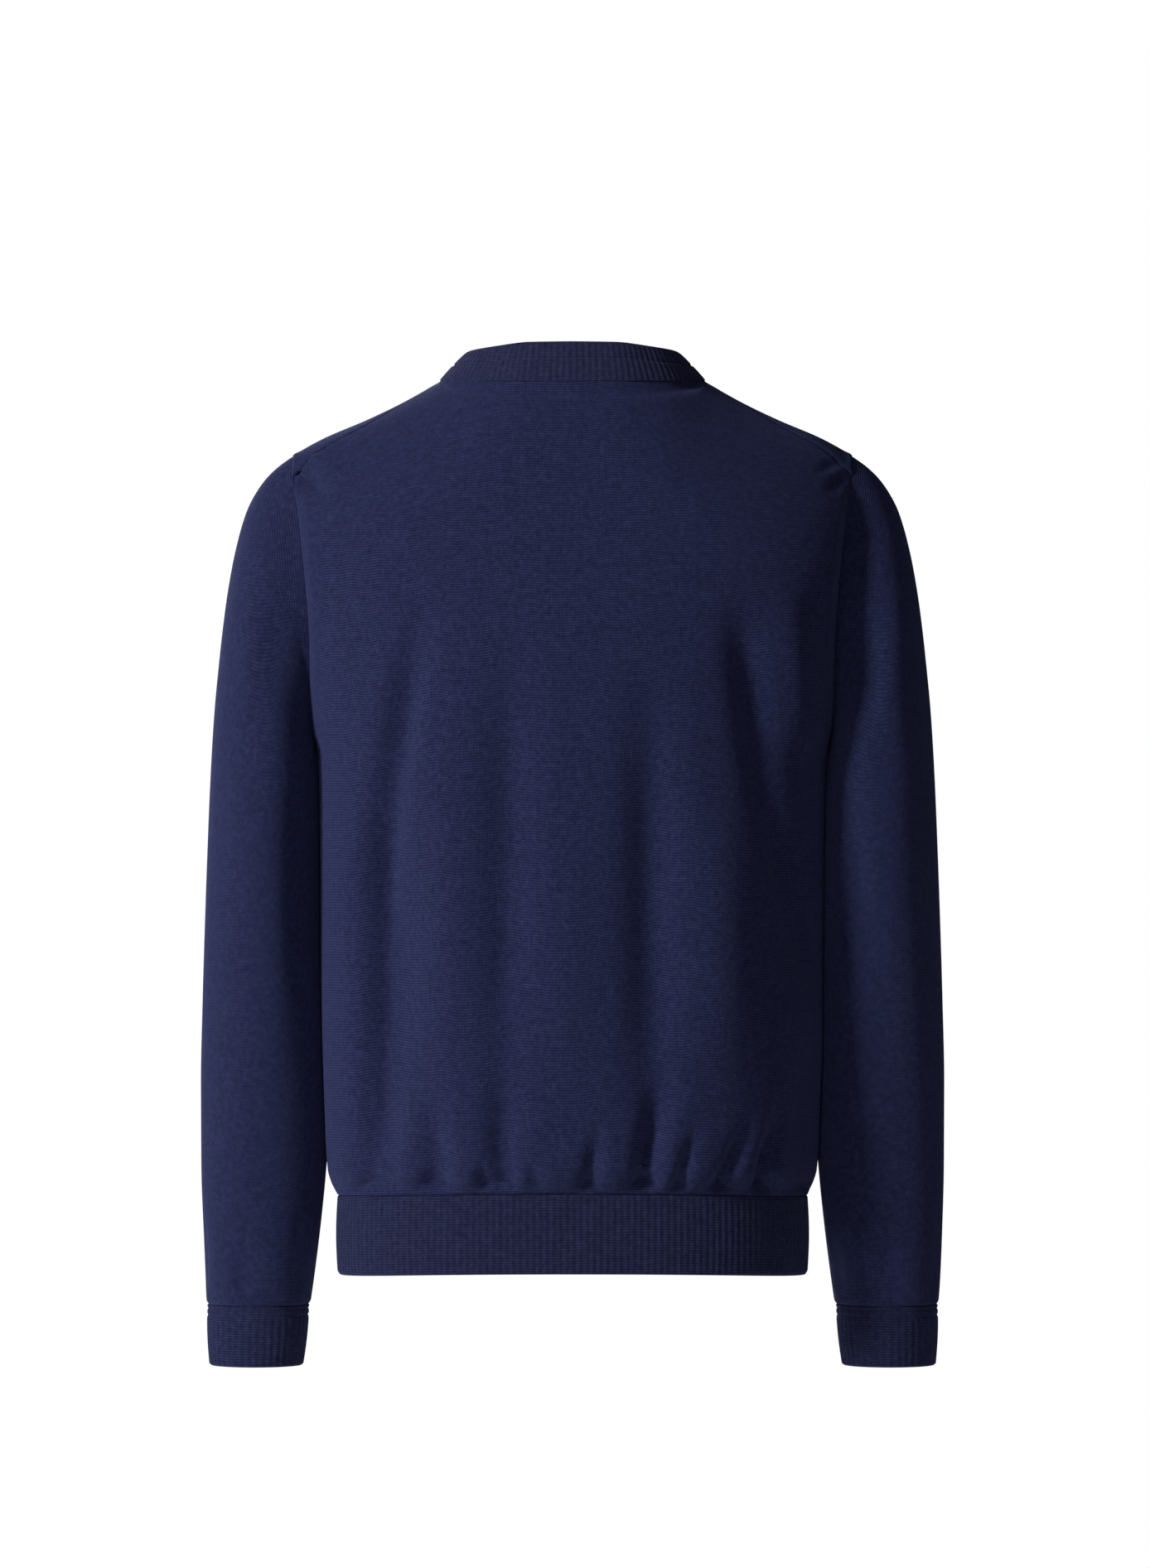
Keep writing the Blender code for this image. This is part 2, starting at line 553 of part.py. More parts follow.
def cuff(side, sign):
    """A cuff: the sleeve's last ring carried down, a little narrower at its end."""
    def outline(row):
        half_width = (row.outer_x - row.inner_x) / 2
        middle = sign * (row.outer_x + row.inner_x) / 2

        def curve(turns):
            angle = 2 * math.pi * turns
            return np.column_stack(
                [middle + half_width * np.cos(angle), row.y + row.depth / 2 * np.sin(angle)])
        return curve

    return ribbed_tube(
        f"cuff_{side}", outline(CUFF_TOP), outline(CUFF_END),
        lambda plan: CUFF_TOP.outer_z - PULL, lambda plan: CUFF_END.outer_z, CUFF_RIBS)


def neckband(grids, tops):
    """One strip of ribbing round the neckline, from the point of the V up over the back and down
    again. The ribs stand square to the neckline, and those by the point end on the mitre."""
    back, back_normals, back_pull, _ = neck_edge(grids[BACK], tops[BACK], BACK)
    front, front_normals, front_pull, _ = neck_edge(grids[FRONT], tops[FRONT], FRONT)
    middle = len(front) // 2
    points, normals, pulls = [], [], []
    for store, on_front, on_back in (
            (points, front, back), (normals, front_normals, back_normals),
            (pulls, front_pull, back_pull)):
        side = (on_front[-1] + on_back[-1]) / 2, (on_front[0] + on_back[0]) / 2
        store.extend(on_front[middle:-1])
        store.append(side[0])
        store.extend(on_back[-2:0:-1])
        store.append(side[1])
        store.extend(on_front[1:middle + 1])
    points, normals, pulls = np.array(points), unit(np.array(normals)), np.array(pulls)
    last = len(points) - 1
    square = unit(np.cross(points[1] - points[0], normals[0] + normals[1]))
    square = square if square[0] < 0 else -square
    start = FIRST_RIB_X / points[1, 0]
    points[0] = points[0] + (points[1] - points[0]) * start
    points[last] = points[0] * (-1, 1, 1)
    pulls[0], pulls[last] = square, square * (-1, 1, 1)

    length = np.linalg.norm(np.diff(points, axis=0), axis=1)
    base, thick, square, lengthwise = [], [], [], []
    for i, run in enumerate(length):
        ribs = max(1, round(run / RIB_PITCH))
        share = (np.arange(2 * ribs + (1 if i == last - 1 else 0)) / (2 * ribs))[:, None]
        base.append(points[i] + (points[i + 1] - points[i]) * share)
        thick.append(normals[i] + (normals[i + 1] - normals[i]) * share)
        square.append(pulls[i] + (pulls[i + 1] - pulls[i]) * share)
        lengthwise.append(np.tile(unit(points[i + 1] - points[i]), (len(share), 1)))
    base, thick, square = np.vstack(base), unit(np.vstack(thick)), np.vstack(square)
    seam = base + PULL * square

    behind = ease(1 - base[:, 2:] / (V_POINT_Z * BAND_LIE))
    rise = unit(unit(square) + behind * BAND_STAND * np.array([0.0, 0.0, 1.0]))
    window = 2 * BAND_BLEND + 1
    padded = np.pad(rise, ((BAND_BLEND, BAND_BLEND), (0, 0)), mode="edge")
    rise = unit(np.stack([np.convolve(padded[:, axis], np.ones(window) / window, mode="valid")
                          for axis in range(3)], axis=-1))
    outwards = 1 - (1 - np.abs(seam[:, :1]) / NECK_HALF_WIDTH) / NAPE_REACH
    nape = behind * (1 - ease(outwards))
    width = BAND_WIDTH_SIDE + (BAND_WIDTH_NAPE - BAND_WIDTH_SIDE) * nape
    top = seam + rise * width
    side = np.sign(seam[:, 0])
    crosses = (side * top[:, 0] < MITRE_HALF_GAP) & (seam[:, 2] < V_POINT_Z * BAND_LIE)
    share = (side * seam[:, 0] - MITRE_HALF_GAP) / np.maximum(side * (seam[:, 0] - top[:, 0]), 1e-9)
    top = np.where(crosses[:, None], seam + (top - seam) * share[:, None], top)
    around = unit(np.gradient(seam, axis=0))
    leaning = unit(np.cross(rise, around))
    leaning = leaning * np.where(np.sum(leaning * thick, axis=1, keepdims=True) < 0, -1, 1)

    relief = RIB_RELIEF / 2 * np.where(np.arange(len(seam)) % 2, 1, -1)[:, None]
    outer = np.array([seam + thick * relief, top + leaning * relief])
    inner = np.array([(seam - thick * RIB_CLOTH)[::2], (top - leaning * RIB_CLOTH)[::2]])
    return wall("neckband", outer, inner, False, NAVY_RIB)


def wall(name, outer, inner, closed, colour):
    """A closed wall of cloth between an outer and an inner grid of points, rows by columns. The
    inner grid has the outer's columns, or every second one under ribbing."""
    rows, count = outer.shape[:2]
    inner_count = inner.shape[1]
    ratio = 1 if inner_count == count else 2
    spans = inner_count if closed else inner_count - 1
    faces = []

    def out(row, column):
        return row * count + column % count

    def back(row, column):
        return rows * count + row * inner_count + column % inner_count

    def split(corners, turned):
        """Two triangles of a four-cornered patch, cut from its second corner if turned."""
        a, b, c, d = corners
        return [(a, b, d), (b, c, d)] if turned else [(a, b, c), (a, c, d)]

    for row in range(rows - 1):
        for column in range(spans * ratio):
            patch = outer[[row, row, row + 1, row + 1],
                          [column, (column + 1) % count, (column + 1) % count, column]]
            turned = (np.linalg.norm(patch[3] - patch[1]) < np.linalg.norm(patch[2] - patch[0]))
            faces += split((out(row, column), out(row, column + 1),
                            out(row + 1, column + 1), out(row + 1, column)), turned)
            if column % ratio == 0:
                step = column // ratio
                faces += [face[::-1] for face in split(
                    (back(row, step), back(row, step + 1),
                     back(row + 1, step + 1), back(row + 1, step)), turned)]
    for row, turned in ((0, False), (rows - 1, True)):
        for column in range(spans):
            edge = [out(row, column * ratio + step) for step in range(ratio + 1)]
            if ratio == 1:
                rim = [(edge[1], edge[0], back(row, column), back(row, column + 1))]
            else:
                rim = [(edge[1], edge[0], back(row, column)),
                       (edge[1], back(row, column), back(row, column + 1)),
                       (edge[2], edge[1], back(row, column + 1))]
            faces.extend(face[::-1] if turned else face for face in rim)
    if not closed:
        for row in range(rows - 1):
            last, inner_last = count - 1, inner_count - 1
            faces.append((out(row, 0), out(row + 1, 0), back(row + 1, 0), back(row, 0)))
            faces.append((out(row + 1, last), out(row, last),
                          back(row, inner_last), back(row + 1, inner_last)))

    mesh = bpy.data.meshes.new(name)
    points = np.vstack([outer.reshape(-1, 3), inner.reshape(-1, 3)])
    mesh.from_pydata(points.tolist(), [], faces)
    work = bmesh.new()
    work.from_mesh(mesh)
    bmesh.ops.triangulate(work, faces=work.faces, quad_method="FIXED")
    bmesh.ops.recalc_face_normals(work, faces=work.faces)
    work.to_mesh(mesh)
    work.free()
    mesh.shade_smooth()
    mesh.set_sharp_from_angle(angle=SHARP_ANGLE)
    mesh.materials.append(knit_material(name, colour))
    return bpy.data.objects.new(name, mesh)


def knit_material(name, colour):
    material = bpy.data.materials.new(f"{name}_knit")
    material.use_nodes = True
    shader = material.node_tree.nodes["Principled BSDF"]
    shader.inputs["Base Color"].default_value = colour
    shader.inputs["Roughness"].default_value = KNIT_ROUGHNESS
    shader.inputs["Metallic"].default_value = 0.0
    return material


def build_sweater():
    for old in list(bpy.data.objects):
        bpy.data.objects.remove(old)
    sweater = bpy.data.collections.new("v_neck_sweater")
    bpy.context.scene.collection.children.link(sweater)

    grids, tops = {}, {}
    for facing in (BACK, FRONT):
        grids[facing], tops[facing] = panel_grid(facing)
    armholes = {sign: armhole_loop(grids, sign) for sign in (1, -1)}
    pieces = [
        body_panel("back", BACK, grids, tops, armholes),
        body_panel("front", FRONT, grids, tops, armholes),
        neckband(grids, tops),
        hem_rib(),
    ]
    for side, sign in (("left", 1), ("right", -1)):
        pieces.append(sleeve(side, sign, armholes))
        pieces.append(cuff(side, sign))
    for piece in pieces:
        sweater.objects.link(piece)


build_sweater()
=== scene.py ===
"""A navy v-neck sweater in fine knit, seen from behind, filled out as if worn with the arms down.

The sections follow the way the sweater is put together: the back, the front, the two sleeves,
then the ribbed neckband, hem and cuffs, and last the studio. Metres, +Z up, the wearer faces -Y.
"""

import math
from collections import namedtuple

import bpy
import numpy as np
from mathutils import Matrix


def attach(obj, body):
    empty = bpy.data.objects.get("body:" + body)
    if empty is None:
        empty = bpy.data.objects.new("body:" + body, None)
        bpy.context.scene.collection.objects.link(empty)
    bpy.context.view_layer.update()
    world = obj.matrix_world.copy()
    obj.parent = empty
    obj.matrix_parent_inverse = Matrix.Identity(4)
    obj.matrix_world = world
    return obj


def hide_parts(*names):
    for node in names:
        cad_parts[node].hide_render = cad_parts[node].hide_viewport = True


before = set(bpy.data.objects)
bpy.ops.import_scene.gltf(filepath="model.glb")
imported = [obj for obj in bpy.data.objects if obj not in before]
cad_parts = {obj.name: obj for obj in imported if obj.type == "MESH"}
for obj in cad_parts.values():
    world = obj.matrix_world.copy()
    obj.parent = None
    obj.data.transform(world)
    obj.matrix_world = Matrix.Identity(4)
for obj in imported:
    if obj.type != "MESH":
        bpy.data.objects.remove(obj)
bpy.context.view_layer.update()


# ---- The back ----
# The back is one panel of fine plain knit, shaped on the machine and linked to the front along
# the shoulders and sides. It hangs from the shoulders in long soft folds, and blouses over the
# hem's ribbing, which draws it in with short uneven gathers.

BACK, FRONT = 1, -1     # the way a panel looks along Y
KNIT_THICK = 0.0015
HEM_SEAM_Z = -0.603
HEM_LIFT = 0.0065       # the hem rides up this much at centre back and front
BLOUSE_TOP_Z = -0.540   # the body blouses over the hem from here down
GATHER_END = 0.005      # the gathers fade out over this height above the hem seam
UNDERARM_Z = -0.277
NECK_HALF_WIDTH = 0.098
NAPE_Z = -0.004
NAPE_SQUARENESS = 4     # exponent of the back neckline's curve
FULLNESS = 2.4          # exponent of the body's rounded sections, 2 for an ellipse
SIDE_POWER = 8          # exponent that keeps a flare or a fold away from the side seams
DOME = 0.110            # height over which the shoulders round over
RIDGE_Y = 0.006         # the shoulders' ridge lies this far behind the side seams
SEAM_ROLL = 0.0013      # how deep the cloth rolls in at a linked seam,
SEAM_REACH = 0.0045     # and how far from the seam that starts
SIDE_SEAM_SHARE = 0.25  # share of that roll at the side seams. Up the armhole it grows
ROLL_START = 0.30       # to the whole roll from this share of the rows,
ROLL_SPAN = 0.25        # over this further share
STAND = 0.0014          # the panel's edge stands up by this at the armhole,
STAND_REACH = 0.012     # fading out over this width
STAND_GROWTH = 3        # and growing over the first 1 / STAND_GROWTH of the rows
NECK_DIP = 0.0024       # the cloth dips in below the neckband, which holds it,
NECK_DIP_BELOW = 0.008  # this far below the seam
NECK_DIP_FADE = 0.022   # and the dip fades out over this width beside the neck
BODY_SINK_REACH = 0.009     # the body drops in to the armhole's seam over this width, and the
SLEEVE_SINK_REACH = 0.090   # sleeve comes out of it again over this length
SINK = {"left": 0.14, "right": 0.30}    # the share of its depth that is lost at the seam,
SINK_TOP_Z = -0.060         # which grows from nothing here
SINK_FULL_Z = -0.120        # to the whole here
SHARP_EDGE = math.radians(62)

Section = namedtuple("Section", "z half_width back front flare", defaults=(0.0,))
BODY_SECTIONS = (
    Section(-0.603, 0.1745, 0.109, 0.106),
    Section(-0.594, 0.1790, 0.118, 0.113),
    Section(-0.585, 0.1815, 0.123, 0.117),
    Section(-0.540, 0.1840, 0.126, 0.119),
    Section(-0.450, 0.1868, 0.125, 0.118, 0.003),
    Section(-0.350, 0.1876, 0.127, 0.122, 0.018),
    Section(-0.277, 0.1892, 0.129, 0.126, 0.036),
    Section(-0.262, 0.1940, 0.129, 0.126, 0.026),
    Section(-0.235, 0.2005, 0.128, 0.123),
    Section(-0.190, 0.2100, 0.125, 0.116),
    Section(-0.150, 0.2200, 0.119, 0.106),
    Section(-0.110, 0.2260, 0.110, 0.095),
    Section(-0.060, 0.2280, 0.098, 0.082),
    Section(0.000, 0.2280, 0.084, 0.071),
)
LOWER_HEIGHTS = (-0.603, -0.594, -0.585, -0.568, -0.540, -0.500, -0.450, -0.400, -0.350, -0.310,
                 UNDERARM_Z)

# The shoulders' ridge from the neck outwards, and the turn by which the seam lies behind it.
Ridge = namedtuple("Ridge", "x z seam_turn")
SHOULDER_RIDGE = (
    Ridge(0.000, 0.0500, 0.00),
    Ridge(0.030, 0.0455, 0.00),
    Ridge(0.065, 0.0260, 0.00),
    Ridge(0.098, 0.0000, 0.00),
    Ridge(0.121, -0.0140, 0.12),
    Ridge(0.151, -0.0287, 0.28),
    Ridge(0.186, -0.0438, 0.40),
    Ridge(0.207, -0.0560, 0.54),
    Ridge(0.228, -0.0740, 0.60),
)

Armhole = namedtuple("Armhole", "rise half_width")
BACK_ARMHOLE = (
    Armhole(-0.277, 0.1892), Armhole(-0.253, 0.1918), Armhole(-0.217, 0.1925),
    Armhole(-0.180, 0.1940), Armhole(-0.154, 0.1960), Armhole(-0.115, 0.2000),
    Armhole(-0.053, 0.2066),
)
ARMHOLE_ROWS = 12       # rows up the armhole, closer together below than above
EVEN_CLIMB = 0.55       # the even share of their climb
NECK_COLUMNS = 7        # columns from the centre to the neckline's side,
SHOULDER_COLUMNS = 12   # and on to the armhole
NECK_EVENNESS = 0.25    # the even share of the first ones' spacing
FINER = 5               # each column is cut into this many,
ROW_FINER = 7           # and each row into this many,
TOP_FINER = 21          # or the topmost into this many, crowded to the seam
TOP_BEND = 5.0          # power of the climb at which a row takes up the top edge's own bends
FOLDS_FADE = 0.72       # the share of the panel's rows from which the folds fade out,
FOLDS_SPAN = 0.20       # over this further share

# A fold is a line from an upper to a lower end. A negative depth is a ridge, and the short ones
# that run to the hem seam are its gathers. inner is the half-width on the side of the body's
# middle, where that is another.
Fold = namedtuple("Fold", "x_top z_top x_low z_low half_width depth inner", defaults=(None,))
BACK_FOLDS = (
    Fold(0.106, -0.150, 0.158, -0.440, 0.013, 0.0120),
    Fold(0.141, -0.290, 0.1465, -0.600, 0.0112, 0.0195, 0.032),
    Fold(0.044, -0.150, 0.050, -0.600, 0.017, 0.0070),
    Fold(-0.056, -0.185, -0.060, -0.600, 0.018, 0.0100),
    Fold(-0.119, -0.150, -0.145, -0.340, 0.013, 0.0080),
    Fold(-0.136, -0.280, -0.184, -0.480, 0.012, 0.0080),
    Fold(0.090, -0.180, 0.096, -0.560, 0.020, -0.0030),
    Fold(-0.108, -0.280, -0.112, -0.550, 0.022, -0.0055),
    Fold(0.006, -0.300, 0.000, -0.560, 0.022, -0.0025),
    Fold(-0.156, -0.140, -0.174, -0.300, 0.014, -0.0055),
    Fold(-0.168, -0.470, -0.176, -0.608, 0.012, 0.0060),
    Fold(0.146, -0.490, 0.149, -0.608, 0.0115, 0.0095, 0.022),
    Fold(0.104, -0.505, 0.100, -0.608, 0.012, 0.0090),
    Fold(0.068, -0.568, 0.063, -0.608, 0.006, 0.0035),
    Fold(0.052, -0.490, 0.050, -0.608, 0.011, 0.0075),
    Fold(0.030, -0.565, 0.026, -0.608, 0.006, 0.0030),
    Fold(-0.020, -0.540, -0.010, -0.608, 0.006, 0.0060),
    Fold(-0.066, -0.500, -0.050, -0.608, 0.009, 0.0110),
    Fold(-0.092, -0.540, -0.075, -0.608, 0.005, 0.0060),
    Fold(-0.132, -0.535, -0.104, -0.608, 0.006, 0.0095),
    Fold(-0.154, -0.525, -0.136, -0.608, 0.006, 0.0105),
)
BACK_PUCKERS = (        # by the tips of the shoulders
    Fold(0.2050, -0.062, 0.1840, -0.090, 0.0090, 0.0055),
    Fold(0.1960, -0.052, 0.1780, -0.068, 0.0080, -0.0020),
    Fold(-0.2045, -0.066, -0.1890, -0.088, 0.0075, 0.0024),
    Fold(-0.1960, -0.058, -0.1800, -0.074, 0.0075, 0.0016),
)
FOLD_RAMP = 2.5         # a fold reaches its depth within 1 / FOLD_RAMP of its length,
GATHER_RAMP = 1.6       # and a gather within 1 / GATHER_RAMP


def unit(vectors):
    """The vectors, each made one long."""
    return vectors / np.maximum(np.linalg.norm(vectors, axis=-1, keepdims=True), 1e-12)


def ease(t):
    """Rises from 0 to 1 with level ends: three times t squared less twice t cubed."""
    t = np.clip(t, 0, 1)
    return t * t * (3 - 2 * t)


def curve_through(table, key, column, x):
    """A smooth curve through a table's knots that never overshoots them: cubic pieces whose
    slope at each knot is the harmonic mean of the slopes beside it, or level at a turn."""
    knots = np.array([getattr(row, key) for row in table])
    values = np.array([getattr(row, column) for row in table])
    step = np.diff(knots)
    chord = np.diff(values) / step
    slope = np.zeros(len(knots))
    k = np.flatnonzero(chord[:-1] * chord[1:] > 0)
    before, after = 2 * step[k + 1] + step[k], step[k + 1] + 2 * step[k]
    slope[k + 1] = (before + after) / (before / chord[k] + after / chord[k + 1])
    slope[0], slope[-1] = chord[0], chord[-1]
    x = np.clip(x, knots[0], knots[-1])
    i = np.clip(np.searchsorted(knots, x) - 1, 0, len(step) - 1)
    t = (x - knots[i]) / step[i]
    rise = values[i + 1] - values[i]
    bend_in = slope[i] * step[i] - rise
    bend_out = slope[i + 1] * step[i] - rise
    return values[i] + t * rise + t * (1 - t) * ((1 - t) * bend_in - t * bend_out)


def section_depth(x, z, facing):
    """How far the body's section at height z stands off the side seams' plane at x. The section
    is a rounded box: share of width and share of depth, each to the power FULLNESS, add to 1."""
    share = np.abs(x) / curve_through(BODY_SECTIONS, "z", "half_width", z)
    flare = curve_through(BODY_SECTIONS, "z", "flare", z)
    share = share * (1 - flare * (1 - np.minimum(share, 1) ** SIDE_POWER))
    back = curve_through(BODY_SECTIONS, "z", "back", z)
    front = curve_through(BODY_SECTIONS, "z", "front", z)
    inside = np.maximum(1 - share ** FULLNESS, 0)
    return np.where(facing > 0, back, front) * inside ** (1 / FULLNESS)


def worn_body(x, rise, facing):
    """A point of the worn body's form. rise is its height along the cloth: z up to where the
    shoulders start to round over, and then the length of a quarter circle over the ridge."""
    spring = curve_through(SHOULDER_RIDGE, "x", "z", np.abs(x)) - DOME
    turn = np.maximum(rise - spring, 0) / DOME
    z = np.where(turn > 0, spring + DOME * np.sin(turn), rise)
    reach = np.cos(turn)
    side = facing * np.where(reach < 0, -1, 1)
    depth = side * section_depth(x, z, side)
    y = np.where(turn > 0, RIDGE_Y + (depth - RIDGE_Y) * np.abs(reach), depth)
    return np.stack([x, y, z], axis=-1)


def hem_rise(y, z):
    """The hem's ride-up: the square of the share of depth, so nothing at the sides."""
    depth = np.where(y > 0, BODY_SECTIONS[0].back, BODY_SECTIONS[0].front)
    fade = ease((BLOUSE_TOP_Z - z) / (BLOUSE_TOP_Z - HEM_SEAM_Z))
    return HEM_LIFT * (y / depth) ** 2 * fade


def top_rise(x, facing, neckline):
    """Rise of a panel's top edge: the neckline inside the neck's width, the shoulder seam out
    of it. Both are heights turned into lengths along the round-over."""
    away = np.abs(x)
    spring = curve_through(SHOULDER_RIDGE, "x", "z", away) - DOME
    turn = curve_through(SHOULDER_RIDGE, "x", "seam_turn", away)
    shoulder = spring + DOME * (math.pi / 2 - facing * turn)
    low = neckline(np.clip(away / NECK_HALF_WIDTH, 0, 1))
    lift = np.clip((low - spring) / DOME, -1, 1)
    neck = np.where(low < spring, low, spring + DOME * np.arcsin(lift))
    return np.where(away < NECK_HALF_WIDTH, neck, shoulder)


def back_neckline(share):
    """Height of the nape at a share of the neck's half-width."""
    return NAPE_Z * (1 - share ** NAPE_SQUARENESS)


def panel_columns():
    """Shares of a panel's half-width at its columns, from -1 to 1, closer together by the
    neckline's side and the armhole."""
    tip = BACK_ARMHOLE[-1].half_width
    neck = NECK_HALF_WIDTH / tip
    step = np.linspace(0, 1, NECK_COLUMNS * FINER + 1)
    inner = neck * (NECK_EVENNESS * step + (1 - NECK_EVENNESS) * np.sin(step * math.pi / 2))
    start = math.asin(neck) * 2 / math.pi
    outer = start + (1 - start) * np.linspace(0, 1, SHOULDER_COLUMNS * FINER + 1)[1:]
    half = np.concatenate([inner, np.sin(outer * math.pi / 2)])
    return np.concatenate([-half[:0:-1], half])


def panel_rows():
    """Places of a panel's rows, in the solid's rows: even, and closer at the top seam."""
    last = len(LOWER_HEIGHTS) - 1 + ARMHOLE_ROWS
    even = np.linspace(0, last - 1, (last - 1) * ROW_FINER + 1)
    return np.concatenate([even, last - (1 - np.linspace(0, 1, TOP_FINER + 1)[1:]) ** 2])


def climbing(share):
    """The share of its climb that a panel's row has made at a share of the armhole's rows."""
    return EVEN_CLIMB * share + (1 - EVEN_CLIMB) * share * share


def panel_form(facing, armhole, neckline):
    """A panel on the smooth body, rows by columns. Below the underarm a row is level, and above
    it the rows climb together from the underarm to the neckline and shoulder seam, whose bends
    show only in the topmost rows."""
    share, place = panel_columns(), panel_rows()
    under = len(LOWER_HEIGHTS) - 1
    height = np.interp(place[place <= under], np.arange(under + 1), LOWER_HEIGHTS)[:, None]
    x = share * curve_through(BODY_SECTIONS, "z", "half_width", height)
    lower = worn_body(x, height + 0 * x, facing)
    lower[..., 2] += hem_rise(lower[..., 1], lower[..., 2])
    climb = climbing((place[place > under] - under) / ARMHOLE_ROWS)[:, None]
    top = top_rise(share * armhole[-1].half_width, facing, neckline)
    level = top[len(top) // 2] + (top[-1] - top[len(top) // 2]) * share ** 2
    rise = UNDERARM_Z + (level - UNDERARM_Z) * climb + (top - level) * climb ** TOP_BEND
    x = share * curve_through(armhole, "rise", "half_width", rise[:, -1:])
    return np.concatenate([lower, worn_body(x, rise, facing)])


def skin_normals(points, facing):
    """Unit normals of a grid, square to its rows and columns. facing is -1 where those turn
    the other way about, as seen from outside."""
    return unit(np.cross(np.gradient(points, axis=0), np.gradient(points, axis=1)) * facing)


def length_along(points, axis):
    """Length from a grid's first row or column to each point, along the other."""
    run = np.linalg.norm(np.diff(points, axis=axis), axis=-1)
    return np.insert(np.cumsum(run, axis=axis), 0, 0, axis=axis)


def fold_depth(points, folds):
    """How far folds stand out of the smooth form: each is a bell across its line, times a ramp
    along it, and the gathers' ramps stop short of the seam."""
    x, y, z = points[..., 0], points[..., 1], points[..., 2]
    z = z - hem_rise(y, z)
    total = np.zeros(x.shape)
    for fold in folds:
        t = (fold.z_top - z) / (fold.z_top - fold.z_low)
        centre = fold.x_top + (fold.x_low - fold.x_top) * t
        to_hem = fold.z_low < HEM_SEAM_Z
        end = ease((z - HEM_SEAM_Z) / GATHER_END) if to_hem else ease((1 - t) * FOLD_RAMP)
        along = ease(t * (GATHER_RAMP if to_hem else FOLD_RAMP)) * end
        inside = np.abs(x) < np.abs(centre)
        half_width = np.where(inside, fold.inner or fold.half_width, fold.half_width)
        total -= fold.depth * along * np.exp(-((x - centre) / half_width) ** 2)
    return total


def seam_roll(distance):
    """How far cloth rolls in towards a linked seam: the cube of its nearness over SEAM_REACH."""
    return SEAM_ROLL * np.clip(1 - distance / SEAM_REACH, 0, 1) ** 3


def sunk(points, distance, reach):
    """Points beside an armhole, moved in towards the side seams' plane: the share of their depth
    that is lost fades out with their distance from the seam, steeply first and then softly."""
    near = 2 - 2 * ease(0.5 + 0.5 * distance / reach)
    share = np.where(points[..., 0] > 0, SINK["left"], SINK["right"])
    grow = ease((SINK_TOP_Z - points[..., 2]) / (SINK_TOP_Z - SINK_FULL_Z))
    sinks = 1 - share * grow * near
    return points * np.stack([np.ones_like(sinks), sinks, np.ones_like(sinks)], axis=-1)


def placed(name, data):
    """A new object in the scene."""
    made = bpy.data.objects.new(name, data)
    bpy.context.scene.collection.objects.link(made)
    return made


def cloth_wall(name, outer, inner, wale, course, closed=False):
    """A closed wall of cloth between two grids of points: both skins, and a strip of faces
    round each open edge. wale and course are the cloth's own two coordinates, in metres; on a
    closed tube they have one more column than the points."""
    rows, columns = outer.shape[:2]
    across = columns if closed else columns - 1
    row, column = np.indices((rows - 1, across)).reshape(2, -1)

    def corners(row, column, up, along):
        """Point number and place in the cloth, for both skins, of a face's corner."""
        c = column + along
        number = (row + up) * columns + c % columns
        return number, np.stack([wale[row + up, c], course[row + up, c]], axis=-1)

    a, b, c, d = (corners(row, column, *step) for step in ((0, 0), (0, 1), (1, 1), (1, 0)))
    skin = np.stack([a[0], b[0], c[0], d[0]], axis=1)
    cloth = np.stack([a[1], b[1], c[1], d[1]], axis=1)
    under = rows * columns
    faces, places = [skin, skin[:, ::-1] + under], [cloth, cloth[:, ::-1]]

    def border(row, column, up, along, way):
        """Faces from skin to skin along an edge, between each of its corners and the next."""
        (p, at_p), (q, at_q) = corners(row, column, 0, 0), corners(row, column, up, along)
        faces.append(np.stack([p, q, q + under, p + under], axis=1)[:, ::way])
        places.append(np.stack([at_p, at_q, at_q, at_p], axis=1)[:, ::way])

    border(0, np.arange(across), 0, 1, -1)
    border(rows - 1, np.arange(across), 0, 1, 1)
    if not closed:
        border(np.arange(rows - 1), 0, 1, 0, 1)
        border(np.arange(rows - 1), columns - 1, 1, 0, -1)
    faces, places = np.concatenate(faces), np.concatenate(places)
    points = np.concatenate([outer.reshape(-1, 3), inner.reshape(-1, 3)])
    a, b, c, d = (points[faces[:, corner]] for corner in range(4))
    if np.sum(np.cross(c - a, d - b) * (a + c)) > 0:
        faces, places = faces[:, ::-1], places[:, ::-1]
    mesh = bpy.data.meshes.new(name)
    mesh.from_pydata(points.tolist(), [], faces.tolist())
    layer = mesh.uv_layers.new(name="stitches")
    layer.uv.foreach_set("vector", places.reshape(-1).astype(np.float32))
    mesh.shade_smooth()
    mesh.set_sharp_from_angle(angle=SHARP_EDGE)
    return placed(name, mesh)


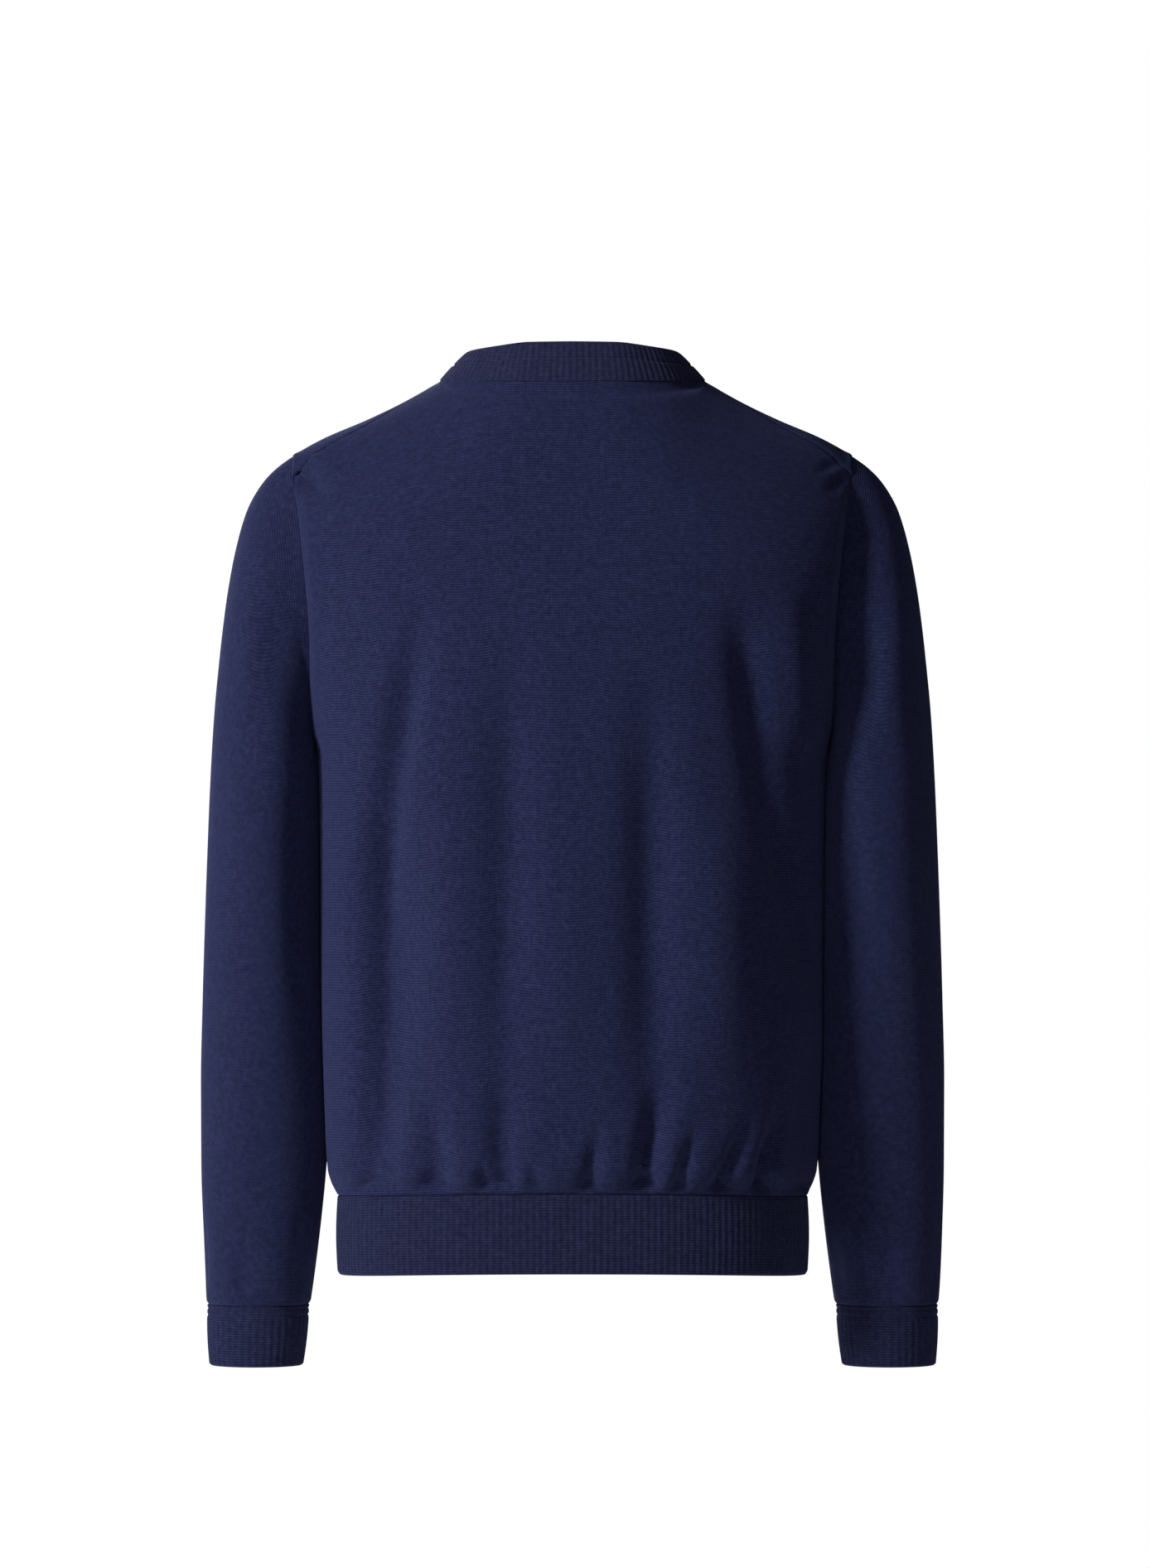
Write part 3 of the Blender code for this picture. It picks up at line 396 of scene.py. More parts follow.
def knit_panel(name, facing, form, folds, puckers=()):
    """The panel's outer skin is the smooth form moved out by its folds and in at its seams, and
    its inner skin lies one thickness inside. Unlike folds, puckers don't fade out at the top."""
    place = panel_rows()[:, None]
    fade = ease((place / place[-1] - FOLDS_FADE) / FOLDS_SPAN)
    keep = (1 - fade) * (1 - np.linspace(-1, 1, form.shape[1]) ** SIDE_POWER)
    relief = fold_depth(form, folds) * keep + fold_depth(form, puckers)
    points = form + skin_normals(form, facing) * relief[..., None]
    wale, course = length_along(points, 1), length_along(points, 0)
    wale = wale - wale[:, wale.shape[1] // 2, None]
    edge = np.minimum(wale - wale[:, :1], wale[:, -1:] - wale)
    above = (place - len(LOWER_HEIGHTS) + 1) / ARMHOLE_ROWS
    side = SIDE_SEAM_SHARE + (1 - SIDE_SEAM_SHARE) * ease((above - ROLL_START) / ROLL_SPAN)
    stand = STAND * np.clip(1 - edge / STAND_REACH, 0, 1) ** 2 * ease(STAND_GROWTH * above)
    points = np.where(above[..., None] >= 0, sunk(points, edge, BODY_SINK_REACH), points)
    beside = np.abs(form[-1:, :, 0]) - NECK_HALF_WIDTH
    shoulder, neck = ease(beside / SEAM_REACH), 1 - ease(beside / NECK_DIP_FADE + 0.5)
    below = course[-1:] - course
    dip = NECK_DIP * np.exp(-((below - NECK_DIP_BELOW) / NECK_DIP_BELOW) ** 2) * neck
    roll = np.maximum(seam_roll(edge) * side, seam_roll(below) * shoulder) + dip - stand
    normals = skin_normals(points, facing)
    normals[0, :, 2] = 0
    normals = unit(normals)
    points = points - normals * roll[..., None]
    inner = points - normals * KNIT_THICK
    return cloth_wall(name, points, inner, wale, course)


class Value:
    """A socket of a material's node tree that reads as a number. Arithmetic on it adds Math
    nodes, and node() adds any other node."""

    def __init__(self, tree, socket):
        self.tree, self.socket = tree, socket

    def node(self, kind, settings=None, sockets=None, output=0):
        """Adds a node: settings are set first, then the values or links of its sockets."""
        made = self.tree.nodes.new(kind)
        for key, value in (settings or {}).items():
            setattr(made, key, value)
        for key, value in (sockets or {}).items():
            if isinstance(value, Value):
                self.tree.links.new(value.socket, made.inputs[key])
            else:
                made.inputs[key].default_value = value
        return Value(self.tree, made.outputs[output])

    def maths(self, operation, *others):
        values = dict(enumerate((self, *others)))
        return self.node("ShaderNodeMath", {"operation": operation}, values)

    def __add__(self, other):
        return self.maths("ADD", other)

    def __sub__(self, other):
        return self.maths("SUBTRACT", other)

    def __mul__(self, other):
        return self.maths("MULTIPLY", other)

    def __abs__(self):
        return self.maths("ABSOLUTE")


WALE = 0.0021           # width of a column of stitches
COURSE = 0.0019         # height of a row of stitches
NAVY = (0.0150, 0.0185, 0.0660)
NAVY_MOTTLE_AND_SHADE = (0.0045, 0.0058, 0.0260)    # painted shade down between the stitches, and the mottle's darker patches
NAVY_FIBRE_AND_HIGHLIGHT = (0.0460, 0.0520, 0.1400)   # pale fibres, and a painted highlight over the stitches' crests
FUZZ = (0.36, 0.42, 1.0)                # the haze of loose fibres
WANDER_SCALE = 22.0     # a slow noise bends the lines of stitches,
WALE_WANDER = 0.8       # by up to this many wales
COURSE_WANDER = 1.2     # and this many courses
LEG_SLANT = 0.4         # courses by which a leg's far end rises later
MOTTLE_SCALE = 260.0    # patches a few stitches wide,
FIBRE_SCALE = 1500.0    # and the yarn's own fibres
STITCH_DEPTH = 0.00032


def knit_finish(name, stitch_depth=STITCH_DEPTH, tint=(1.0, 1.0, 1.0)):
    """Fine plain knit. Each column of stitches is a row of Vs: across it the height peaks over
    the V's two legs, and along it each leg rises and falls once a course, later the further it
    is from the column's middle. tint scales the yarn's red, green and blue."""
    material = bpy.data.materials.new(name)
    material.use_nodes = True
    tree = material.node_tree
    shader = tree.nodes["Principled BSDF"]
    start = Value(tree, None)
    cloth = start.node("ShaderNodeUVMap", {"uv_map": "stitches"})
    apart = {"Vector": cloth}
    u = start.node("ShaderNodeSeparateXYZ", sockets=apart)
    v = start.node("ShaderNodeSeparateXYZ", sockets=apart, output=1)
    solid = start.node("ShaderNodeTexCoord", output=3)

    def noise(scale, detail, roughness=0.5):
        return start.node("ShaderNodeTexNoise", sockets={
            "Vector": solid, "Scale": scale, "Detail": detail, "Roughness": roughness})

    wander = noise(WANDER_SCALE, 1.0)
    leg = abs((u * (1 / WALE) + wander * WALE_WANDER).maths("FRACT") - 0.5) * 2
    legs = (leg * (2 * math.pi)).maths("COSINE") * -0.5 + 0.5
    row = v * (1 / COURSE) + leg * LEG_SLANT + wander * COURSE_WANDER
    loops = (row * (2 * math.pi)).maths("COSINE") * 0.5 + 0.5
    stitch = legs * 0.35 + loops * 0.65
    fibre, mottle = noise(FIBRE_SCALE, 2.0), noise(MOTTLE_SCALE, 3.0, 0.65)
    height = stitch + fibre * 0.35
    # The colour follows the stitches' height as well as the random mottle and fibres: painted
    # shade down between the stitches and a painted highlight over their crests.
    tone_and_painted_light = stitch * 0.70 + mottle * 0.80 + fibre * 0.40 - 0.45
    colours = start.node("ShaderNodeValToRGB", sockets={"Fac": tone_and_painted_light})
    stops = colours.socket.node.color_ramp.elements
    middle = stops.new(0.50)
    for stop, place, colour in ((stops[0], 0.10, NAVY_MOTTLE_AND_SHADE), (middle, 0.50, NAVY),
                                (stops[2], 1.00, NAVY_FIBRE_AND_HIGHLIGHT)):
        stop.position, stop.color = place, (*(c * t for c, t in zip(colour, tint)), 1)
    bump = start.node("ShaderNodeBump", sockets={
        "Strength": 0.9, "Distance": stitch_depth, "Height": height})
    tree.links.new(colours.socket, shader.inputs["Base Color"])
    tree.links.new(bump.socket, shader.inputs["Normal"])
    shader.inputs["Roughness"].default_value = 0.90
    shader.inputs["Specular IOR Level"].default_value = 0.12
    shader.inputs["Sheen Weight"].default_value = 0.18
    shader.inputs["Sheen Roughness"].default_value = 0.55
    shader.inputs["Sheen Tint"].default_value = (*(c * t for c, t in zip(FUZZ, tint)), 1)
    return material


back_form = panel_form(BACK, BACK_ARMHOLE, back_neckline)
knit_back = knit_panel("knit_back", BACK, back_form, BACK_FOLDS, BACK_PUCKERS)
knit_back.data.materials.append(knit_finish("navy_knit_back"))
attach(knit_back, "root")
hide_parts("back")


# ---- The front ----
# The front is cut the same way as the back, with its neckline taken down in two straight edges
# to the point of the V. Its top edges come over the ridge of the shoulders and are linked to
# the back behind it. Its folds are its own, and as soft.

V_POINT_Z = -0.228
FRONT_ARMHOLE = (
    Armhole(-0.277, 0.1892), Armhole(-0.253, 0.1902), Armhole(-0.217, 0.1885),
    Armhole(-0.180, 0.1880), Armhole(-0.154, 0.1895), Armhole(-0.115, 0.1940),
    Armhole(-0.060, 0.2020), Armhole(0.007, 0.2072), Armhole(0.066, 0.2066),
)
FRONT_FOLDS = (
    Fold(0.135, -0.200, 0.150, -0.480, 0.016, 0.0050),
    Fold(0.072, -0.230, 0.050, -0.590, 0.019, 0.0045),
    Fold(-0.030, -0.290, -0.040, -0.600, 0.018, 0.0045),
    Fold(-0.118, -0.210, -0.150, -0.520, 0.016, 0.0060),
    Fold(0.100, -0.320, 0.096, -0.560, 0.020, -0.0030),
    Fold(-0.085, -0.300, -0.094, -0.540, 0.022, -0.0030),
    Fold(0.164, -0.550, 0.158, -0.608, 0.006, 0.0045),
    Fold(0.140, -0.560, 0.133, -0.608, 0.006, 0.0050),
    Fold(0.106, -0.545, 0.098, -0.608, 0.008, 0.0060),
    Fold(0.070, -0.560, 0.066, -0.608, 0.007, 0.0040),
    Fold(0.040, -0.550, 0.036, -0.608, 0.007, 0.0060),
    Fold(0.002, -0.562, 0.000, -0.608, 0.008, 0.0045),
    Fold(-0.034, -0.548, -0.034, -0.608, 0.007, 0.0060),
    Fold(-0.070, -0.560, -0.066, -0.608, 0.007, 0.0040),
    Fold(-0.104, -0.545, -0.098, -0.608, 0.008, 0.0060),
    Fold(-0.150, -0.555, -0.145, -0.608, 0.007, 0.0050),
)


def front_neckline(share):
    """Height of the V's edge at a share of the neck's half-width."""
    return V_POINT_Z * (1 - share)


front_form = panel_form(FRONT, FRONT_ARMHOLE, front_neckline)
knit_front = knit_panel("knit_front", FRONT, front_form, FRONT_FOLDS)
knit_front.data.materials.append(knit_finish("navy_knit_front"))
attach(knit_front, "root")
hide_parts("front")


# ---- The sleeves ----
# Each sleeve is one panel of the same knit, closed by a seam under the arm and linked into the
# armhole. It hangs straight down beside the body and narrows to the cuff, with a few soft
# creases at the bend of the arm and small gathers where the cuff draws it in.

Ring = namedtuple("Ring", "number outer_x outer_z inner_x inner_z depth y")
SLEEVE_RINGS = (
    Ring(1, 0.2185, -0.0645, 0.1890, -0.2800, 0.128, 0.001),
    Ring(2, 0.2287, -0.0750, 0.1872, -0.2838, 0.129, 0.001),
    Ring(3, 0.2408, -0.0950, 0.1852, -0.2895, 0.131, 0.000),
    Ring(4, 0.2496, -0.124, 0.1836, -0.2985, 0.132, -0.001),
    Ring(5, 0.2566, -0.162, 0.1824, -0.3115, 0.132, -0.001),
    Ring(6, 0.2618, -0.205, 0.1815, -0.3290, 0.131, -0.001),
    Ring(7, 0.2660, -0.250, 0.1810, -0.3510, 0.128, -0.001),
    Ring(8, 0.2688, -0.298, 0.1807, -0.3790, 0.124, -0.001),
    Ring(9, 0.2710, -0.350, 0.1806, -0.4130, 0.118, -0.002),
    Ring(10, 0.2730, -0.405, 0.1798, -0.4510, 0.109, -0.003),
    Ring(11, 0.2748, -0.462, 0.1794, -0.4930, 0.100, -0.005),
    Ring(12, 0.2762, -0.522, 0.1798, -0.5400, 0.091, -0.008),
    Ring(13, 0.2762, -0.580, 0.1832, -0.5880, 0.081, -0.012),
    Ring(14, 0.2752, -0.630, 0.1880, -0.6330, 0.074, -0.016),
    Ring(15, 0.2738, -0.668, 0.1926, -0.6680, 0.069, -0.019),
    Ring(16, 0.2726, -0.686, 0.1952, -0.6860, 0.065, -0.020),
)
SLEEVE_FULLNESS = 2.2       # exponent of its rounded rings, once clear of the armhole
SLEEVE_CLEARANCE = 0.0006   # between a sleeve and the body that it hangs against
ARMHOLE_ROLL = 0.15         # the share of the seam's roll on the sleeve's side of the armhole
SEAM_ALLOWANCE = 0.0035     # the sleeve's edge runs on this far inside the panels' edges,
ALLOWANCE_DROP = 0.06       # towards the body's axis, this far below
SETTLE_RINGS = 8            # rings over which the armhole's own outline fades into the tube
ARMHOLE_FINER = 4           # steps round the seam to each of the panels' rows
HEAD_RINGS, HEAD_ROWS, HEAD_CROWD = 1.2, 22, 1.6    # rings, the rows in them, and the power
END_RINGS, END_ROWS, END_CROWD = 1, 22, 1.5         # that crowds those rows to the seam
MIDDLE_ROWS = 125

# turn is a crease's place as a share of the way round, from under the arm over the back.
Crease = namedtuple("Crease", "turn ring reach half_turn depth")
LEFT_CREASES = (
    Crease(0.11, 7.0, 4.5, 0.090, 0.0080),
    Crease(0.30, 4.0, 2.6, 0.040, 0.0030),
    Crease(0.16, 8.5, 2.2, 0.045, 0.0035),
    Crease(0.78, 8.0, 1.8, 0.050, 0.0040),
    Crease(0.86, 10.0, 1.6, 0.045, 0.0030),
    Crease(0.12, 14.6, 0.8, 0.035, 0.0024),
    Crease(0.29, 14.9, 0.7, 0.030, 0.0022),
    Crease(0.46, 14.5, 0.8, 0.035, 0.0024),
    Crease(0.63, 14.8, 0.7, 0.035, 0.0022),
    Crease(0.83, 14.6, 0.8, 0.035, 0.0026),
)
RIGHT_CREASES = (
    Crease(0.26, 4.4, 2.4, 0.045, 0.0032),
    Crease(0.18, 9.0, 2.4, 0.045, 0.0032),
    Crease(0.74, 7.6, 2.0, 0.050, 0.0038),
    Crease(0.88, 9.6, 1.5, 0.045, 0.0032),
    Crease(0.08, 14.8, 0.7, 0.035, 0.0024),
    Crease(0.25, 14.5, 0.8, 0.035, 0.0022),
    Crease(0.42, 14.9, 0.7, 0.030, 0.0024),
    Crease(0.67, 14.6, 0.8, 0.035, 0.0024),
    Crease(0.88, 14.7, 0.7, 0.035, 0.0022),
)
CUFF_SEAM_Z = -0.686


def armhole_line():
    """The seam round the left armhole, up the back from the underarm, over and down the front,
    at even steps of the panels' rows."""
    climb = climbing(np.linspace(0, 1, ARMHOLE_ROWS * ARMHOLE_FINER + 1))[:, None]
    halves = []
    for facing, armhole in ((BACK, BACK_ARMHOLE), (FRONT, FRONT_ARMHOLE)):
        tip = np.array([armhole[-1].half_width])
        top = top_rise(tip, facing, back_neckline)
        rise = UNDERARM_Z + (top - UNDERARM_Z) * climb
        x = curve_through(armhole, "rise", "half_width", rise)
        halves.append(worn_body(x, rise, facing)[:, 0])
    return np.concatenate([halves[0], halves[1][-2:0:-1]])


def body_side(y, z):
    """The body's half-width at y and z below the underarm: its rounded section turned about."""
    depth = np.where(y > 0, curve_through(BODY_SECTIONS, "z", "back", z),
                     curve_through(BODY_SECTIONS, "z", "front", z))
    full = np.maximum(1 - np.abs(y / depth) ** FULLNESS, 0) ** (1 / FULLNESS)
    share = full / (1 - curve_through(BODY_SECTIONS, "z", "flare", z) * (1 - full ** SIDE_POWER))
    return share * curve_through(BODY_SECTIONS, "z", "half_width", z)


def signed_power(values, power):
    """Each value's size to a power, with its own sign."""
    return np.sign(values) * np.abs(values) ** power


def sleeve_rows():
    """The ring numbers of a sleeve's rows, crowded to both its seams."""
    last = SLEEVE_RINGS[-1].number
    head = HEAD_RINGS * np.linspace(0, 1, HEAD_ROWS) ** HEAD_CROWD
    middle = np.linspace(HEAD_RINGS, last - END_RINGS, MIDDLE_ROWS)[1:]
    end = last - END_RINGS * (1 - np.linspace(0, 1, END_ROWS)[1:]) ** END_CROWD
    return np.concatenate([head, middle, end])[:, None]


def sleeve_form(creases):
    """A left sleeve, rings by turns. A ring is an ellipse from its outer line to the line under
    the arm, and the armhole's difference from its own ellipse fades out over the first rings.
    A crease is a bell round the ring times a bell along the sleeve."""
    loop = armhole_line()
    ridge = loop[np.argmax(loop[:, 2])]
    front, back = loop[:, 1].min(), loop[:, 1].max()
    first = Ring(0, ridge[0], ridge[2], loop[0, 0], loop[0, 2], back - front, (back + front) / 2)
    rings = (first,) + SLEEVE_RINGS
    number = sleeve_rows()

    def at(column):
        return curve_through(rings, "number", column, number)

    outer, inner = (np.stack([at(f"{line}_x"), at("y"), at(f"{line}_z")], axis=-1)
                    for line in ("outer", "inner"))
    middle, half = (outer + inner) / 2, (outer - inner) / 2
    turn = np.arange(len(loop)) / len(loop)
    even = math.pi - 2 * math.pi * turn
    centre, long_half = middle[0, 0], half[0, 0]
    reach = (loop - centre) @ long_half / (long_half @ long_half)
    angle = np.unwrap(np.arctan2((loop[:, 1] - first.y) / (first.depth / 2), reach))
    angle = angle + (math.pi - angle[0])
    own = centre + np.outer(np.cos(angle), long_half)
    own[:, 1] += np.sin(angle) * first.depth / 2

    fade = ease(1 - number / SETTLE_RINGS)
    theta = even + (angle - even) * fade
    power = 1 + (2 / SLEEVE_FULLNESS - 1) * (1 - fade)
    cos, sin = signed_power(np.cos(theta), power), signed_power(np.sin(theta), power)
    out = half * cos[..., None]
    out[..., 1] = at("depth") / 2 * sin
    off_ellipse = (loop - own)[None] * (fade ** 2)[..., None]
    form = middle + out + off_ellipse
    outward = unit(out + off_ellipse)
    for crease in creases:
        away = (turn - crease.turn + 0.5) % 1 - 0.5
        bell = np.exp(-(away / crease.half_turn) ** 2)
        bell = bell * np.exp(-((number - crease.ring) / crease.reach) ** 2)
        form = form - outward * (crease.depth * bell)[..., None]
    clear = body_side(form[..., 1], form[..., 2]) + SLEEVE_CLEARANCE
    hangs = form[..., 2] < UNDERARM_Z
    form[..., 0] = np.where(hangs, np.maximum(form[..., 0], clear), form[..., 0])
    form[-1, :, 2] = CUFF_SEAM_Z
    return form


def tube_cloth(form):
    """The coordinates of a tube's cloth across and along it, with one column more than form."""
    round_it = np.concatenate([form, form[:, :1]], axis=1)
    return length_along(round_it, 1), length_along(round_it, 0)


def tube_normals(form):
    """Unit normals of a tube's grid, as skin_normals gives a panel's."""
    wrapped = np.concatenate([form[:, -1:], form, form[:, :1]], axis=1)
    return unit(np.cross(wrapped[:, 2:] - wrapped[:, :-2], np.gradient(form, axis=0)))


for side, sign, creases in (("left", 1, LEFT_CREASES), ("right", -1, RIGHT_CREASES)):
    form = sleeve_form(creases)
    flip = np.array([float(sign), 1.0, 1.0])
    form = sunk(form * flip, tube_cloth(form)[1][:, :-1], SLEEVE_SINK_REACH) * flip
    inward = unit(form[:1] * (-1, -1, 0) - (0, 0, ALLOWANCE_DROP))
    form = np.concatenate([form[:1] + inward * SEAM_ALLOWANCE, form])
    normals = tube_normals(form)
    normals[-1, :, 2] = 0
    normals = unit(normals)
    wale, course = tube_cloth(form)
    wale, course = wale - wale[:, -1:] / 2, course - course[1:2]
    under_seam = np.minimum(wale - wale[:, :1], wale[:, -1:] - wale)[:, :-1]
    roll = np.maximum(seam_roll(course) * ARMHOLE_ROLL, seam_roll(course[-1:] - course))[:, :-1]
    roll = np.maximum(roll, seam_roll(under_seam) * SIDE_SEAM_SHARE)
    outer = form - normals * roll[..., None]
    inner = outer - normals * KNIT_THICK
    piece = cloth_wall(f"knit_sleeve_{side}", outer * flip, inner * flip, wale, course,
                       closed=True)
    piece.data.materials.append(knit_finish(f"navy_knit_sleeve_{side}"))
    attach(piece, "root")
    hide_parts(f"sleeve_{side}")


# ---- The neckband ----
# The neckband is one strip of ribbing, linked to the neckline from the point of the V up over
# the back and down again, and mitred at the point. It is double, folded at its top edge, so it
# is a little plump, and a line of linking shows along it below the fold.

RIB_THICK = 0.0022
RIB_RELIEF = 0.00042    # from the groove to the crest of a rib
RIB_PITCH = 0.0049
RIB_STEPS = 8           # points to a rib
RIB_STITCH_DEPTH = 0.00020
BAND_WIDTH_NAPE = 0.0330
BAND_WIDTH_SIDE = 0.0280
NAPE_REACH = 0.65       # share of the back neckline over which the band narrows to its sides
BAND_STAND = 0.25       # how far the band stands up off the cloth's own slope, at the back
BAND_LIE = 0.45         # share of the V's depth over which it comes to lie on the chest
BAND_BLEND = 0.0175     # the band's lean is evened out over this length each way
BAND_PLUMP = 0.0009     # how far it stands out between its seam and its fold
PLUMP_AT_SEAM = 0.05    # share of the way up that arch at which the band starts
LINKING_BELOW_TOP = 0.0135      # the line of linking lies this far below the fold
LINKING_DEPTH = 0.0009
LINKING_HALF_WIDTH = 0.0011
FOLD_REACH = 0.003      # the ribs lie shallower towards the fold over this width,
RIBS_AT_FOLD = 0.2      # down to this share of their relief
MITRE_NARROW = 0.006    # where the mitre leaves less width, the relief lessens with it,
MITRE_LEAST = 0.02      # and this least share of the width is kept at the point
BAND_ROWS = 26
NUDGE = 0.0004          # the small step along and across that gives the neckline's normals


def rib_relief(place):
    """A rib's section over one unit of place: a rounded crest between narrow grooves."""
    return 1 - 2 * np.cos(math.pi * place) ** 2


def smoothed(values, reach):
    """The mean of each row with the rows up to reach before and after it, ends held."""
    window = 2 * reach + 1
    total = np.cumsum(np.pad(values, ((reach + 1, reach), (0, 0)), mode="edge"), axis=0)
    return (total[window:] - total[:-window]) / window


def turned_to(vectors, guides):
    """The vectors, each turned about if it points away from its guide."""
    return vectors * np.where(np.sum(vectors * guides, axis=1, keepdims=True) < 0, -1, 1)


def half_neckline(facing, neckline, count):
    """One panel's neckline from centre to side in count points, with its normals and the
    directions up the cloth, square to the neckline."""
    x = NECK_HALF_WIDTH * np.linspace(1e-4, 1 - 1e-6, count)
    rise = top_rise(x, facing, neckline)
    points = worn_body(x, rise, facing)
    across = worn_body(x + NUDGE, rise, facing) - worn_body(x - NUDGE, rise, facing)
    up = worn_body(x, rise + NUDGE, facing) - worn_body(x, rise - NUDGE, facing)
    normals = unit(np.cross(up, across) * facing)
    square = unit(np.cross(np.gradient(points, axis=0), normals))
    return points, normals, turned_to(square, up)


def neckband_form():
    """The band's seam line and top line, the normals at both, and the place in ribs, at even
    steps along the seam."""
    front = half_neckline(FRONT, front_neckline, 400)
    back = half_neckline(BACK, back_neckline, 300)
    flip = np.array([-1.0, 1.0, 1.0])
    path = []
    for on_front, on_back in zip(front, back):
        right = np.concatenate([on_front, on_back[::-1]])
        path.append(np.concatenate([right, (right * flip)[::-1]]))
    run = length_along(path[0], 0)
    ribs = round(run[-1] / RIB_PITCH)
    even = np.linspace(0, run[-1], ribs * RIB_STEPS + 1)
    seam, normals, square = (np.column_stack([np.interp(even, run, part[:, axis])
                                              for axis in range(3)]) for part in path)
    reach = round(BAND_BLEND / (even[1] - even[0]))
    behind = ease(1 - seam[:, 2:] / (V_POINT_Z * BAND_LIE))
    lean = smoothed(unit(square), reach // 4)
    upright = behind * BAND_STAND * np.array([0.0, 0.0, 1.0])
    lean = unit(smoothed(unit(unit(lean) + upright), reach))
    outwards = 1 - (1 - np.abs(seam[:, :1]) / NECK_HALF_WIDTH) / NAPE_REACH
    nape = behind * (1 - ease(outwards))
    width = BAND_WIDTH_SIDE + (BAND_WIDTH_NAPE - BAND_WIDTH_SIDE) * nape
    top = seam + lean * width
    hand = np.sign(seam[:, 0])
    crosses = (hand * top[:, 0] < 0) & (seam[:, 2] < V_POINT_Z * BAND_LIE)
    share = hand * seam[:, 0] / np.maximum(hand * (seam[:, 0] - top[:, 0]), 1e-9)
    mitred = seam + (top - seam) * np.maximum(share, MITRE_LEAST)[:, None]
    top = np.where(crosses[:, None], mitred, top)
    leaning = turned_to(unit(np.cross(lean, unit(np.gradient(seam, axis=0)))), normals)
    return seam, top, unit(smoothed(normals, reach // 4)), leaning, even / RIB_PITCH


seam, top, at_seam, at_top, rib_place = neckband_form()
up = np.linspace(0, 1, BAND_ROWS)[:, None]
width = np.linalg.norm(top - seam, axis=1)[None]
normals = unit(at_seam[None] * (1 - up[..., None]) + at_top[None] * up[..., None])
from_top = (1 - up) * width
arch = np.sin(math.pi * np.clip(up * (1 - PLUMP_AT_SEAM) + PLUMP_AT_SEAM, 0, 1))
plump = BAND_PLUMP * np.sqrt(np.clip(arch, 0, 1))
linking = -LINKING_DEPTH * np.exp(-((from_top - LINKING_BELOW_TOP) / LINKING_HALF_WIDTH) ** 2)
ribs_fade = ease(from_top / FOLD_REACH) * (1 - RIBS_AT_FOLD) + RIBS_AT_FOLD
stand = plump + linking + RIB_RELIEF / 2 * rib_relief(rib_place)[None] * ribs_fade
stand = stand * np.minimum(width / MITRE_NARROW, 1)
base = seam[None] + (top - seam)[None] * up[..., None]
outer = base + normals * stand[..., None]
inner = base - normals * RIB_THICK
course = up * width
wale = np.broadcast_to(rib_place * RIB_PITCH, course.shape)
neckband = cloth_wall("ribbed_neckband", outer, inner, wale, course)


def rib_finish(name, tint):
    """Ribbed knit: the plain knit's yarn and stitches, lying shallower over the ribs."""
    return knit_finish(name, stitch_depth=RIB_STITCH_DEPTH, tint=tint)


neckband.data.materials.append(rib_finish("navy_rib_neckband", (1.06, 1.00, 0.89)))
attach(neckband, "root")
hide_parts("neckband")


# ---- The hem ----
# The hem is a straight band of ribbing, linked to the bottom of the body, which it draws in. It
# is double, with a soft fold at its lower edge, and rides up a little at centre back and front.

HEM_END_Z = -0.662
HEM_INSET = 0.0005      # the ribbing lies this far inside the blouse's lowest section
HEM_PLUMP = 0.0012      # how far the hem stands out between its seam and its fold
HEM_ROWS = 26
PLAN_STEPS = 2400       # points round the section that the ribs are then spaced along
SEAM_ROUND = 0.0004     # radius that a band of ribbing is rounded with at its seam,
FOLD_ROUND = 0.0016     # and at its folded end


def rounded_ends(down, length, radius):
    """The share of its thickness that a double band has at a share of the way down it: less
    within radius of either end, by a quarter of a circle."""
    from_end = np.minimum(down, 1 - down) * length
    return np.sqrt(np.clip(1 - (1 - np.clip(from_end / radius, 0, 1)) ** 2, 0, 1))


def band_skins(relief, ends):
    """How far a double band's outer and inner skins stand off its plan, met at the ends."""
    return relief * ends - RIB_THICK / 2 * (1 - ends), RIB_THICK / 2 * (1 - ends) - RIB_THICK


def hem_form():
    """The hem's outer and inner skins, rows by turns, and its cloth's coordinates."""
    lowest = BODY_SECTIONS[0]
    angle = 2 * math.pi * np.arange(PLAN_STEPS) / PLAN_STEPS
    half_depth = np.where(np.sin(angle) > 0, lowest.back, lowest.front) - HEM_INSET
    plan = np.column_stack([
        (lowest.half_width - HEM_INSET) * signed_power(np.cos(angle), 2 / FULLNESS),
        half_depth * signed_power(np.sin(angle), 2 / FULLNESS)])
    plan = np.vstack([plan, plan[:1]])
    run = length_along(plan, 0)
    ribs = round(run[-1] / RIB_PITCH)
    even = np.linspace(0, run[-1], ribs * RIB_STEPS + 1)
    line = np.column_stack([np.interp(even[:-1], run, plan[:, axis]) for axis in (0, 1)])
    x, y = line.T
    along = np.roll(line, -1, axis=0) - np.roll(line, 1, axis=0)
    outward = unit(np.stack([along[:, 1], -along[:, 0]], axis=-1))
    down = np.linspace(0, 1, HEM_ROWS)[:, None]
    high, low = HEM_SEAM_Z + hem_rise(y, HEM_SEAM_Z), HEM_END_Z + hem_rise(y, HEM_END_Z)
    z = high + (low - high) * down
    length = (high - low) * np.ones_like(down)
    ends = rounded_ends(down, length, np.where(down < 0.5, SEAM_ROUND, FOLD_ROUND))
    place = np.arange(len(line)) / RIB_STEPS
    relief = RIB_RELIEF / 2 * rib_relief(place)[None] + HEM_PLUMP * np.sin(math.pi * down)
    skins = [np.dstack([x + outward[:, 0] * off, y + outward[:, 1] * off, z])
             for off in band_skins(relief, ends)]
    wale = np.broadcast_to(even, (HEM_ROWS, len(even)))
    course = np.concatenate([length * down, (length * down)[:, :1]], axis=1)
    return (*skins, wale, course)


